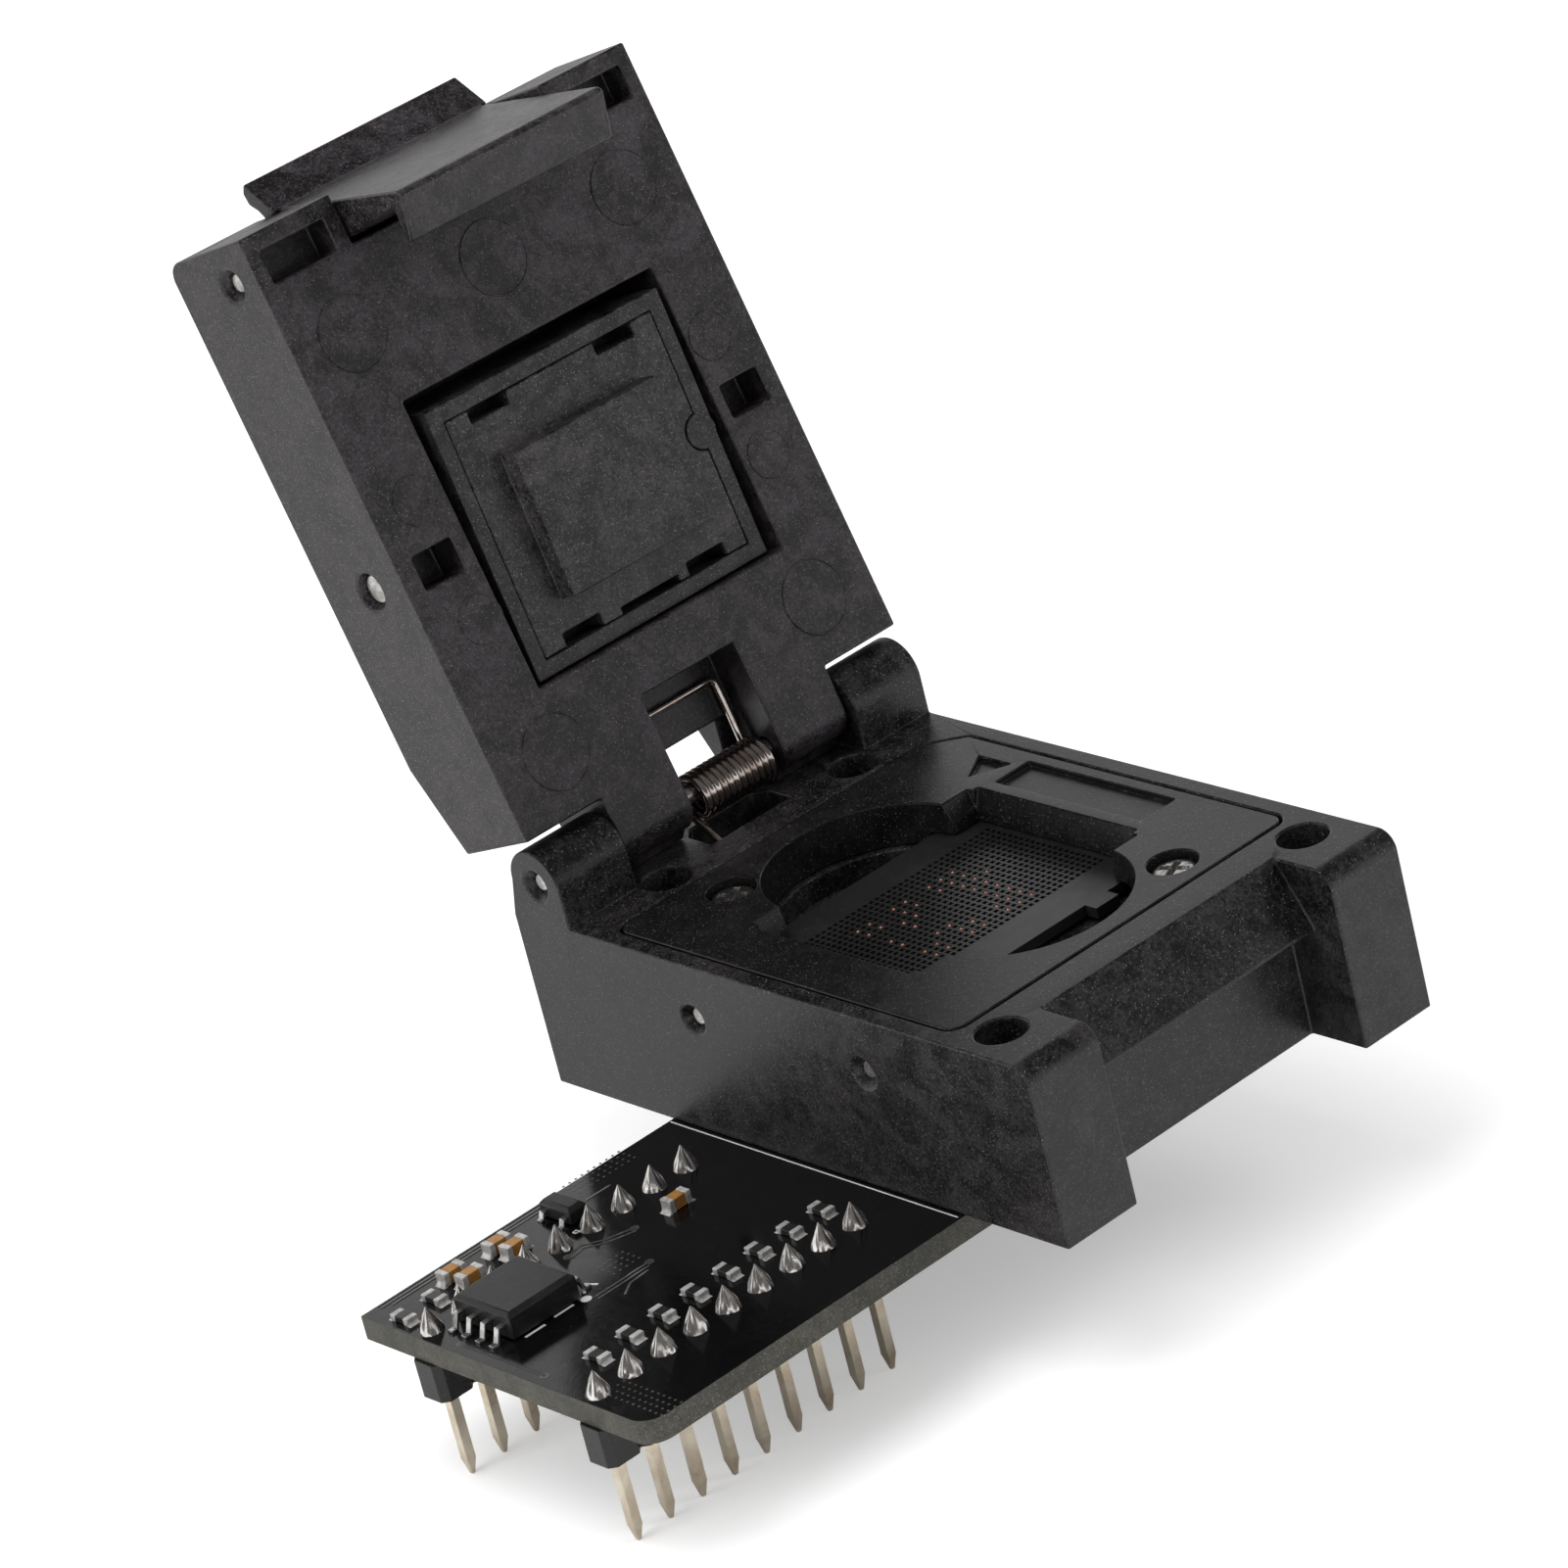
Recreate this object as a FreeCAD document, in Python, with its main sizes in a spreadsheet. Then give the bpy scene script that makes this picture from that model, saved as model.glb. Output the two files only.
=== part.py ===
import FreeCAD, Part
import math
import os
from types import SimpleNamespace

import Sketcher

# Clamshell test socket for a ball-grid chip, on a small adapter board with two rows of header pins.
# The origin is the middle of the two pin rows, on the plane where the header strips seat on a host.
# X runs along the hinge, Y from the front posts to the hinge, Z up. Sizes are in millimetres.
SIZES = {
    # Header and board
    "pin_pitch": 2.54,
    "row_gap": 15.24,
    "pins_per_row": 9,
    "pin_side": 0.64,
    "pin_below": 5.7,
    "pin_point": 0.9,
    "pin_tip": 0.35,
    "pin_gap": 0.02,
    "strip_height": 2.54,
    "strip_width": 2.5,
    "strip_notch": 0.45,
    "board_thickness": 1.6,
    "board_length": 52.4,
    "board_width": 26.2,
    "board_margin": 1.05,
    "board_corner": 1.6,
    "joint_radius": 0.85,
    "joint_height": 1.55,
    "joint_tip": 0.2,
    # Base, measured from its left front corner on the board's top
    "base_x": 13.87,
    "base_y": 21.95,
    "base_width": 30.7,
    "base_length": 45.8,
    "base_height": 11.85,
    "post_width": 5.65,
    "post_round": 1.25,
    "recess_wall": 4.5,
    "recess_lean": 0.1,
    "nose_y": 2.3,
    "nose_land": 0.35,
    "ledge_drop": 4.4,
    "ear_radius": 2.3,
    "hinge_inset": 2.99,
    "hinge_rise": 2.54,
    "hinge_pin_radius": 0.6,
    "hinge_sink": 1.1,
    "hole_radius": 1.6,
    "front_hole_inset": 2.75,
    "front_hole_y": 4.9,
    "back_hole_inset": 7.45,
    "back_hole_back": 6.0,
    "spring_slot_left_margin": 0.25,
    "spring_slot_right_margin": 0.8,
    "spring_slot_front": 2.31,
    "spring_slot_back": 0.69,
    "spring_slot_depth": 2.6,
    "spring_slot_corner": 0.8,
    "dowel_radius": 0.6,
    "dowel_sink": 1.05,
    "dowel_drop": 3.85,
    "dowel_front_inset": 2.1,
    "dowel_back_inset": 1.6,
    "sink_depth": 0.5,
    # Chip guide frame
    "guide_left": 1.4,
    "guide_front": 7.5,
    "guide_right_wall": 1.5,
    "guide_back_wall": 8.1,
    "guide_thickness": 2.85,
    "guide_seat": 0.05,
    "guide_gap": 0.2,
    "guide_round": 1.0,
    "guide_chamfer": 2.4,
    "chip_shift_x": -0.45,
    "chip_shift_y": -0.2,
    "chip_width": 18.1,
    "chip_length": 14.1,
    "lead_in": 0.5,
    "lead_in_depth": 1.3,
    "finger_radius": 7.0,
    "finger_lip": 0.4,
    "finger_margin": 1.65,
    "finger_floor": 1.7,
    "mark_depth": 0.35,
    "mark_margin": 0.9,
    "mark_width": 2.95,
    "mark_front": 8.5,
    "mark_length": 12.9,
    "arrow_margin": 1.65,
    "arrow_inset": 5.05,
    "arrow_length": 2.4,
    "arrow_width": 2.9,
    "screw_head_radius": 1.45,
    "screw_head_height": 0.8,
    "screw_head_drop": 0.4,
    "screw_head_gap": 0.15,
    "screw_recess_reach": 0.95,
    "screw_recess_half": 0.2,
    "screw_recess_depth": 0.45,
    "screw_radius": 0.95,
    "screw_length": 5.6,
    "screw_room": 0.7,
    "screw_clearance": 0.1,
    "screw_back_inset": 6.8,
    "screw_front_inset": 7.0,
    "screw_end_inset": 3.1,
    "screw_front_end_inset": 2.7,
    # Contact field
    "plate_drop": 2.15,
    "plate_thickness": 0.7,
    "plate_room": 0.05,
    "plate_width": 19.9,
    "plate_front_reach": 7.6,
    "plate_back_reach": 8.7,
    "plate_travel": 0.3,
    "tab_shift": 3.85,
    "tab_width": 1.9,
    "tab_reach": 1.0,
    "contact_pitch": 1.0,
    "contact_side": 0.22,
    "contact_well": 0.42,
    "contact_stand": 0.05,
    "block_gap": 0.05,
    "block_width": 20.6,
    "block_front_reach": 9.5,
    "block_back_reach": 9.5,
    "field_shift": 0.2,
    "plate_spring_inset": 1.6,
    "plate_spring_inset_y": 2.4,
    "plate_spring_radius": 0.6,
    "plate_spring_depth": 2.2,
    "plate_spring_wire": 0.2,
    "plate_spring_turns": 3,
    "spring_room": 0.15,
    # Lid, measured from the hinge axis with the lid shut
    "open_angle": 108.66,
    "lid_overhang": 0.2,
    "lid_heel": 2.84,
    "lid_front_overhang": 0.14,
    "lid_face": 1.71,
    "lid_thickness": 8.97,
    "lid_round": 1.2,
    "lid_bevel": 6.0,
    "lid_bevel_drop": 1.9,
    "stop_gap": 0.05,
    "stop_reach": 2.6,
    "knuckle_gap": 0.25,
    "slot_width": 7.8,
    "slot_shift": 0.15,
    "slot_end": 7.05,
    "slot_depth": 3.2,
    "slot_step": 1.35,
    "step_rise": 0.4,
    "heel_drop": 0.9,
    "heel_overlap": 0.1,
    "running": 0.05,
    "window_left": 5.3,
    "window_right_wall": 5.0,
    "window_front_reach": 9.44,
    "window_back_reach": 9.81,
    "window_depth": 7.1,
    "frame_gap": 0.65,
    "frame_low_gap": 0.4,
    "frame_high_gap": 0.9,
    "frame_sunk": 0.1,
    "frame_rock": 4.0,
    "frame_thickness": 5.9,
    "frame_wall": 1.05,
    "insert_gap": 0.06,
    "insert_thickness": 2.3,
    "boss_width": 11.6,
    "boss_length": 9.6,
    "boss_height": 1.5,
    "boss_shift_x": 0.1,
    "boss_shift_y": 0.71,
    "notch_width": 3.1,
    "notch_depth": 0.85,
    "notch_inset": 1.75,
    "middle_notch_x": 6.4,
    "middle_notch_width": 4.8,
    "middle_notch_depth": 0.45,
    "tongue_radius": 1.15,
    "cross_shift": 0.17,
    "cross_z": 2.18,
    "cross_radius": 1.0,
    "cross_sink": 1.3,
    "check_window_x": 1.1,
    "check_window_width": 3.1,
    "check_window_length": 2.2,
    "check_window_depth": 2.6,
    "corner_window_x": 0.8,
    "corner_window_width": 4.95,
    "corner_window_low": 3.3,
    "corner_window_high": 1.15,
    "corner_window_depth": 2.1,
    "pressure_spring_radius": 1.0,
    "pressure_spring_depth": 2.5,
    "pressure_spring_wire": 0.3,
    "pressure_spring_turns": 3,
    "pressure_spring_inset": 3.4,
    "pressure_spring_room": 0.35,
    # Latch, measured from the hinge axis with the lid shut
    "latch_inset": 2.48,
    "latch_z": 1.31,
    "latch_pin_radius": 0.65,
    "latch_sink": 1.15,
    "latch_gap": 0.3,
    "latch_bay_left": 6.9,
    "latch_bay_depth": 4.7,
    "lever_left": 6.7,
    "lever_bay_gap": 0.4,
    "lever_bay_z": 3.9,
    "hook_wall_gap": 0.19,
    "hook_ledge_gap": 0.03,
    "hook_thickness": 1.5,
    "hook_toe": 0.3,
    "hook_slope": 2.9,
    "hook_heel": 3.2,
    "hook_heel_rise": 0.35,
    "hook_inside": 2.35,
    "arm_face": 0.13,
    "arm_face_z": 0.2,
    "arm_inside": 0.45,
    "arm_inside_z": 1.9,
    "arm_back": 1.57,
    "arm_back_low": 0.71,
    "arm_heel": 0.87,
    "arm_heel_rise": 3.69,
    "lever_root": 1.83,
    "lever_root_rise": 4.19,
    "crease": 2.63,
    "crease_rise": 3.19,
    "lever_reach": 2.2,
    "lever_rise": 2.05,
    "lever_lip": 1.65,
    "lever_lip_rise": 2.55,
    "lever_top": 0.85,
    "lever_top_rise": 2.45,
    "lever_neck": 0.35,
    "lever_neck_rise": 1.8,
    "lever_throat": 0.5,
    "lever_throat_rise": 1.25,
    "latch_spring_x": 3.0,
    "latch_spring_z": 4.4,
    "latch_spring_radius": 0.9,
    "latch_spring_depth": 1.9,
    "latch_spring_seat": 0.12,
    "latch_spring_wire": 0.25,
    "latch_spring_turns": 3,
    # Torsion spring on the hinge pin
    "coil_inset": 1.0,
    "coil_length": 6.4,
    "coil_turns": 12,
    "coil_wire": 0.5,
    "coil_radius": 1.32,
    "coil_sag": 0.35,
    "leg_reach": 5.3,
    "leg_bend": 2.7,
    "leg_run": 5.8,
    "leg_gap": 0.04,
    "foot_turn": 60.0,
    # Small parts on the board
    "chip8_side": 5.2,
    "chip8_height": 1.7,
    "chip8_lift": 0.1,
    "chip8_pitch": 1.27,
    "chip8_lead": 0.42,
    "chip8_reach": 1.25,
    "lead_thickness": 0.2,
    "sot_length": 2.9,
    "sot_width": 1.4,
    "sot_height": 1.05,
    "sot_reach": 0.6,
    "sot_pitch": 1.9,
    "resistor_length": 1.6,
    "resistor_width": 0.85,
    "resistor_height": 0.45,
    "capacitor_length": 1.7,
    "capacitor_width": 0.9,
    "capacitor_height": 0.85,
    "terminal": 0.4,
    "terminal_proud": 0.03,
    "package_edge": 0.25,
}

# Contacts in each row of the chip's ball field, from the back row to the front row
CONTACT_ROWS = (
    "##.##.###.",
    "##.##.###.",
    "..##...###",
    "#.#....##.",
    "#......##.",
    "..##...##.",
    "##.##.###.",
    "##.##.###.",
)

# Centres of the small parts, from the base's left front corner
CHIP8_AT = (-19.95, 26.2)
REGULATOR_AT = (-11.2, 32.2)
CAPACITORS_AT = ((-15.9, 33.0), (-15.6, 31.7), (-19.5, 33.0), (-19.2, 31.6), (-7.2, 26.4))
RESISTORS_AT = ((-24.1, 32.0), (-21.7, 32.0)) + tuple((-21.45 + 2.54 * k, 17.3) for k in range(8))

doc = FreeCAD.newDocument("IcTestSocket")
sheet = doc.addObject("Spreadsheet::Sheet", "Sizes")
for row, (alias, number) in enumerate(SIZES.items(), start=1):
    sheet.set(f"A{row}", alias)
    sheet.set(f"B{row}", str(number))
    sheet.setAlias(f"B{row}", alias)
doc.recompute()


class Size:
    """A length that keeps both its number and the sheet expression that gives it."""

    def __init__(self, text, number):
        self.text = text
        self.number = number

    def joined(self, sign, other, number):
        return Size(f"({self.text} {sign} {other.text})", number)

    def __add__(self, other):
        other = size(other)
        return self.joined("+", other, self.number + other.number)

    def __sub__(self, other):
        other = size(other)
        return self.joined("-", other, self.number - other.number)

    def __mul__(self, other):
        other = size(other)
        return self.joined("*", other, self.number * other.number)

    def __truediv__(self, other):
        other = size(other)
        return self.joined("/", other, self.number / other.number)

    def __radd__(self, other):
        return size(other) + self

    def __rsub__(self, other):
        return size(other) - self

    def __rmul__(self, other):
        return size(other) * self

    def __neg__(self):
        return Size(f"(0 - {self.text})", -self.number)

    def __float__(self):
        return float(self.number)


def size(value):
    return value if isinstance(value, Size) else Size(f"({float(value)})", float(value))


def bind(target, path, value):
    """Tie a property to the sheet."""
    target.setExpression(path, size(value).text)


S = SimpleNamespace(**{alias: Size(f"Sizes.{alias}", float(sheet.get(alias))) for alias in SIZES})
hinge_y = S.base_length - S.hinge_inset
hinge_z = S.base_height + S.hinge_rise
nodes = {}


def place(item, x=0, y=0, z=0):
    """Put an object's own frame at a point."""
    for axis, value in zip("xyz", (x, y, z)):
        bind(item, f"Placement.Base.{axis}", value)


def on_base(item):
    """Give an object the base's frame: left front corner of the base, on the board's top."""
    place(item, S.base_x, -S.base_y, S.strip_height + S.board_thickness)
    return item


def on_lid(item):
    """Hang an object on the hinge axis and swing it open."""
    item.Placement = FreeCAD.Placement(FreeCAD.Vector(), FreeCAD.Rotation(FreeCAD.Vector(-1, 0, 0), 100))
    bind(item, "Placement.Rotation.Angle", S.open_angle)
    place(item, S.base_x, hinge_y - S.base_y, S.strip_height + S.board_thickness + hinge_z)
    return item


def keep(item, label, seat=None):
    """Name an object as a node of the part and seat it."""
    item.Label = label
    if seat:
        seat(item)
    nodes[label] = item
    return item


# Sketch planes by extrusion axis: the plane's role and whether its normal runs along the axis
PLANES = {"X": ("YZ_Plane", 1), "Y": ("XZ_Plane", -1), "Z": ("XY_Plane", 1)}


def new_body(label):
    return doc.addObject("PartDesign::Body", label)


def add_polygon(sketch, points):
    """Draw a closed outline whose corners are tied to the sheet."""
    corners = [FreeCAD.Vector(float(a), float(b), 0) for a, b in points]
    first = sketch.GeometryCount
    for start, end in zip(corners, corners[1:] + corners[:1]):
        sketch.addGeometry(Part.LineSegment(start, end), False)
    count = len(corners)
    for k in range(count):
        sketch.addConstraint(Sketcher.Constraint("Coincident", first + k, 2, first + (k + 1) % count, 1))
    for k, point in enumerate(points):
        for kind, value in zip(("DistanceX", "DistanceY"), point):
            index = sketch.addConstraint(Sketcher.Constraint(kind, -1, 1, first + k, 1, float(value)))
            bind(sketch, f"Constraints[{index}]", value)


def add_circle(sketch, x, y, radius):
    """Draw a circle tied to the sheet."""
    centre = FreeCAD.Vector(float(x), float(y), 0)
    geo = sketch.addGeometry(Part.Circle(centre, FreeCAD.Vector(0, 0, 1), float(radius)), False)
    for kind, value in zip(("DistanceX", "DistanceY"), (x, y)):
        index = sketch.addConstraint(Sketcher.Constraint(kind, -1, 1, geo, 3, float(value)))
        bind(sketch, f"Constraints[{index}]", value)
    index = sketch.addConstraint(Sketcher.Constraint("Radius", geo, float(radius)))
    bind(sketch, f"Constraints[{index}]", radius)


def add_sketch(body, axis, level, loops):
    """Draw loops, each a list of corners or a circle (x, y, radius), on a plane across an axis."""
    role, sense = PLANES[axis]
    sketch = body.newObject("Sketcher::SketchObject", "Outline")
    plane = next(item for item in body.Origin.OriginFeatures if item.Role == role)
    sketch.AttachmentSupport = (plane, "")
    sketch.MapMode = "FlatFace"
    bind(sketch, "AttachmentOffset.Base.z", size(level) * sense)
    for loop in loops:
        if isinstance(loop, tuple):
            add_circle(sketch, *loop)
        else:
            add_polygon(sketch, loop)
    sketch.Visibility = False
    return sketch


def pad(body, axis, low, high, *loops):
    """Add material between two levels along an axis."""
    start = low if PLANES[axis][1] > 0 else high
    sketch = add_sketch(body, axis, start, loops)
    feature = body.newObject("PartDesign::Pad", "Pad")
    feature.Profile = sketch
    bind(feature, "Length", size(high) - low)
    body.Tip = feature
    return feature


def pocket(body, axis, low, high, *loops):
    """Cut material away between two levels along an axis."""
    doc.recompute()
    before = body.Shape.Volume
    start = high if PLANES[axis][1] > 0 else low
    sketch = add_sketch(body, axis, start, loops)
    feature = body.newObject("PartDesign::Pocket", "Pocket")
    feature.Profile = sketch
    bind(feature, "Length", size(high) - low)
    body.Tip = feature
    doc.recompute()
    if body.Shape.Volume >= before - 1e-6:
        raise RuntimeError(f"a pocket of {body.Name} cuts nothing")
    return feature


def edges_where(shape, test):
    """Names of the edges whose middle point and direction pass a test."""
    found = []
    for index, edge in enumerate(shape.Edges, start=1):
        middle = edge.valueAt((edge.FirstParameter + edge.LastParameter) / 2)
        along = edge.tangentAt(edge.FirstParameter)
        if test(middle, along):
            found.append(f"Edge{index}")
    return found


def dress(body, kind, test, amount):
    """Fillet or chamfer the edges that pass a test."""
    doc.recompute()
    base = body.Tip
    names = edges_where(base.Shape, test)
    if not names:
        raise RuntimeError(f"no edge of {body.Name} passes the test")
    feature = body.newObject(f"PartDesign::{kind}", kind)
    feature.Base = (base, names)
    bind(feature, "Radius" if kind == "Fillet" else "Size", amount)
    body.Tip = feature
    return feature


def rectangle(x_low, x_high, y_low, y_high):
    return [(x_low, y_low), (x_high, y_low), (x_high, y_high), (x_low, y_high)]


def rod(label, low, high, y, z, radius, seat):
    """A straight pin along the hinge's direction."""
    body = new_body(label)
    pad(body, "X", low, high, (y, z, radius))
    return keep(body, label, seat)


def sink(body, y, z, outer, inner, side, depth, width_low, width_high):
    """A funnel at one end of a cross bore: a cone cut from the outer radius to the bore's."""
    groove = body.newObject("PartDesign::Groove", "Sink")
    sketch = body.newObject("Sketcher::SketchObject", "SinkOutline")
    plane = next(item for item in body.Origin.OriginFeatures if item.Role == "XY_Plane")
    sketch.AttachmentSupport = (plane, "")
    sketch.MapMode = "FlatFace"
    bind(sketch, "AttachmentOffset.Base.z", z)
    mouth = width_low if side < 0 else width_high
    floor = size(mouth) - depth * side
    proud = size(mouth) + 0.1 * side
    add_polygon(sketch, [(proud, y), (proud, size(y) + outer), (mouth, size(y) + outer),
                         (floor, size(y) + inner), (floor, y)])
    groove.Profile = sketch
    groove.ReferenceAxis = (sketch, ["Edge5"])
    groove.Angle = 360
    body.Tip = groove
    before = body.Shape.Volume
    doc.recompute()
    if body.Shape.Volume >= before - 1e-6:
        raise RuntimeError(f"a sink of {body.Name} cuts nothing")


def solids(label, shapes, seat=None):
    """A node of several separate solids that are made by formula."""
    feature = doc.addObject("Part::Feature", label)
    feature.Shape = Part.makeCompound(shapes) if len(shapes) > 1 else shapes[0]
    return keep(feature, label, seat)


def block(x_low, x_high, y_low, y_high, z_low, z_high):
    """A plain box between six levels."""
    corner = FreeCAD.Vector(float(x_low), float(y_low), float(z_low))
    return Part.makeBox(float(x_high) - float(x_low), float(y_high) - float(y_low),
                        float(z_high) - float(z_low), corner)


def ringed(rings):
    """A closed solid with flat facets through rings of points, each ring with as many points."""
    sides = len(rings[0])
    faces = [Part.Face(Part.makePolygon(rings[0][::-1] + rings[0][-1:])),
             Part.Face(Part.makePolygon(rings[-1] + rings[-1][:1]))]
    for ring, after in zip(rings, rings[1:]):
        for side in range(sides):
            a, b = ring[side], ring[(side + 1) % sides]
            c, d = after[(side + 1) % sides], after[side]
            faces.append(Part.Face(Part.makePolygon([a, b, c, a])))
            faces.append(Part.Face(Part.makePolygon([a, c, d, a])))
    solid = Part.makeSolid(Part.makeShell(faces))
    if solid.Volume < 0:
        solid.reverse()
    return solid


def helix_wire(points, wire, sides):
    """A wire of polygonal section along a path of points, mitred at each point."""
    path = [FreeCAD.Vector(*point) for point in points]
    rings = []
    up = None
    for k, point in enumerate(path):
        ahead = path[min(k + 1, len(path) - 1)] - path[max(k - 1, 0)]
        ahead.normalize()
        if up is None:
            up = ahead.cross(FreeCAD.Vector(0.3, 0.5, 0.8))
        up = up - ahead * up.dot(ahead)
        up.normalize()
        across = ahead.cross(up)
        turns = [2 * math.pi * side / sides for side in range(sides)]
        rings.append([point + up * (wire / 2 * math.cos(turn)) + across * (wire / 2 * math.sin(turn))
                      for turn in turns])
    return ringed(rings)


def coil(centre, axis, start, end, radius, wire, turns, steps=6):
    """A compression spring between two levels along the Y or Z axis."""
    points = []
    low, high = start + wire / 2, end - wire / 2
    count = round(float(turns)) * steps
    for k in range(count + 1):
        share = k / count
        turn = 2 * math.pi * k / steps
        level = low + (high - low) * share
        a = centre[0] + radius * math.cos(turn)
        b = centre[1] + radius * math.sin(turn)
        points.append((a, level, b) if axis == "Y" else (a, b, level))
    return helix_wire(points, wire, 3)


# Base: block with two front posts, hook recess, hinge ears and the pocket for the chip guide

board_top = S.strip_height + S.board_thickness
middle = S.base_width / 2
post_right = S.base_width - S.post_width
ledge_z = S.base_height - S.ledge_drop
recess_top = S.recess_wall + S.recess_lean
guide_right = S.base_width - S.guide_right_wall
guide_back = S.base_length - S.guide_back_wall
chip_x = (S.guide_left + guide_right) / 2 + S.chip_shift_x
chip_y = (S.guide_front + guide_back) / 2 + S.chip_shift_y
chip_left = chip_x - S.chip_width / 2
chip_front = chip_y - S.chip_length / 2
finger_offset = (guide_back - S.guide_front) / 2 - S.finger_margin - S.finger_radius
plate_top = S.base_height - S.plate_drop
plate_front = chip_y - S.plate_front_reach
plate_back = chip_y + S.plate_back_reach
block_front = chip_y - S.block_front_reach
block_back = chip_y + S.block_back_reach
dowel_z = S.base_height - S.dowel_drop
dowels_y = (block_front + S.dowel_front_inset, block_back - S.dowel_back_inset)
slot_left = middle + S.slot_shift - S.slot_width / 2
slot_right = slot_left + S.slot_width
screws_at = ((S.guide_left + S.screw_back_inset, guide_back - S.screw_end_inset),
             (guide_right - S.screw_front_inset, S.guide_front + S.screw_front_end_inset))
floor_z = S.base_height - S.guide_thickness - S.guide_seat
block_left = chip_x - S.block_width / 2
block_right = block_left + S.block_width

base = new_body("base_body")
pad(base, "X", 0, S.base_width, rectangle(0, S.base_length, 0, S.base_height))
ear_front = hinge_y - S.ear_radius
ear_back = hinge_y + S.ear_radius
ear_foot = S.base_height - 1
ear = [(ear_front, ear_foot), (S.base_length, ear_foot), (S.base_length, S.base_height),
       (ear_back, hinge_z), (ear_front, hinge_z)]
for low, high in ((0, S.post_width), (post_right, S.base_width)):
    pad(base, "X", low, high, ear)
    pad(base, "X", low, high, (hinge_y, hinge_z, S.ear_radius))
dress(base, "Fillet", lambda p, t: abs(p.y) < 0.01 and abs(p.z - float(S.base_height)) < 0.01, S.post_round)
pocket(base, "X", S.post_width, post_right, [
    (-2, -1), (S.recess_wall, -1), (S.recess_wall, ledge_z), (S.nose_y, ledge_z),
    (S.nose_y, ledge_z + S.nose_land), (recess_top, S.base_height), (recess_top, S.base_height + 1),
    (-2, S.base_height + 1)])
hole_left, hole_right = S.guide_left - S.guide_gap, guide_right + S.guide_gap
hole_front, hole_back = S.guide_front - S.guide_gap, guide_back + S.guide_gap
hole_chamfer = S.guide_chamfer + S.guide_gap * (2 - math.sqrt(2))
pocket(base, "Z", floor_z, S.base_height, [
    (hole_left, hole_front), (hole_right, hole_front), (hole_right, hole_back - hole_chamfer),
    (hole_right - hole_chamfer, hole_back), (hole_left, hole_back)])
hole_corners = [(float(x), float(y)) for x, y in (
    (hole_left, hole_front), (hole_right, hole_front), (hole_left, hole_back))]
dress(base, "Fillet", lambda p, t: abs(t.z) > 0.9 and any(
    math.hypot(p.x - x, p.y - y) < 0.01 for x, y in hole_corners), S.guide_round + S.guide_gap)
pocket(base, "Z", 0, floor_z, rectangle(block_left - S.block_gap, block_right + S.block_gap,
                                        block_front - S.block_gap, block_back + S.block_gap))
pocket(base, "Z", floor_z - S.finger_floor, floor_z,
       (chip_x, chip_y - finger_offset, S.finger_radius - S.finger_lip))
pocket(base, "Z", floor_z - S.finger_floor, floor_z,
       (chip_x, chip_y + finger_offset, S.finger_radius - S.finger_lip))
foot_low = slot_left + S.spring_slot_left_margin
foot_high = slot_right - S.spring_slot_right_margin
foot_front = hinge_y - S.spring_slot_front
foot_back = hinge_y + S.spring_slot_back
corner = S.spring_slot_corner
pocket(base, "Z", S.base_height - S.spring_slot_depth, S.base_height, [
    (foot_low, foot_front), (foot_high, foot_front), (foot_high, foot_back - corner),
    (foot_high - corner, foot_back), (foot_low + corner, foot_back), (foot_low, foot_back - corner)])
front_holes = [(S.front_hole_inset, S.front_hole_y), (S.base_width - S.front_hole_inset, S.front_hole_y)]
back_hole_y = S.base_length - S.back_hole_back
back_holes = [(S.back_hole_inset, back_hole_y), (S.base_width - S.back_hole_inset, back_hole_y)]
for x, y in front_holes + back_holes:
    pocket(base, "Z", 0, S.base_height, (x, y, S.hole_radius))
for x, y in screws_at:
    pocket(base, "Z", S.base_height - S.screw_length - S.screw_room, floor_z, (x, y, S.screw_radius))
for y in dowels_y:
    pocket(base, "X", 0, S.base_width, (y, dowel_z, S.dowel_radius))
    for side in (-1, 1):
        sink(base, y, dowel_z, S.dowel_sink, S.dowel_radius, side, S.sink_depth, 0, S.base_width)
pocket(base, "X", 0, S.base_width, (hinge_y, hinge_z, S.hinge_pin_radius))
for side in (-1, 1):
    sink(base, hinge_y, hinge_z, S.hinge_sink, S.hinge_pin_radius, side, S.sink_depth, 0, S.base_width)
keep(base, "base_body", on_base)

# Chip guide: a frame screwed into the base, with the chip pocket, finger cuts and orientation mark

guide = new_body("guide_frame")
guide_low = S.base_height - S.guide_thickness
pad(guide, "Z", guide_low, S.base_height, [
    (S.guide_left, S.guide_front), (guide_right, S.guide_front), (guide_right, guide_back - S.guide_chamfer),
    (guide_right - S.guide_chamfer, guide_back), (S.guide_left, guide_back)])
round_at = [(float(S.guide_left), float(S.guide_front)), (float(guide_right), float(S.guide_front)),
            (float(S.guide_left), float(guide_back))]
dress(guide, "Fillet", lambda p, t: abs(t.z) > 0.9 and any(
    math.hypot(p.x - x, p.y - y) < 0.01 for x, y in round_at), S.guide_round)
chip_hole = rectangle(chip_left, chip_left + S.chip_width, chip_front, chip_front + S.chip_length)
pocket(guide, "Z", guide_low, S.base_height, chip_hole)
for sense in (-1, 1):
    pocket(guide, "Z", guide_low, S.base_height,
           (chip_x, chip_y + sense * finger_offset, S.finger_radius))
plate_left = chip_x - S.plate_width / 2
plate_right = plate_left + S.plate_width
pocket(guide, "Z", guide_low, plate_top + S.plate_room,
       rectangle(plate_left - S.guide_gap, plate_right + S.guide_gap, plate_front - S.tab_reach - S.guide_gap,
                 plate_back + S.guide_gap))
lead_foot = S.base_height - S.lead_in_depth
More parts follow.
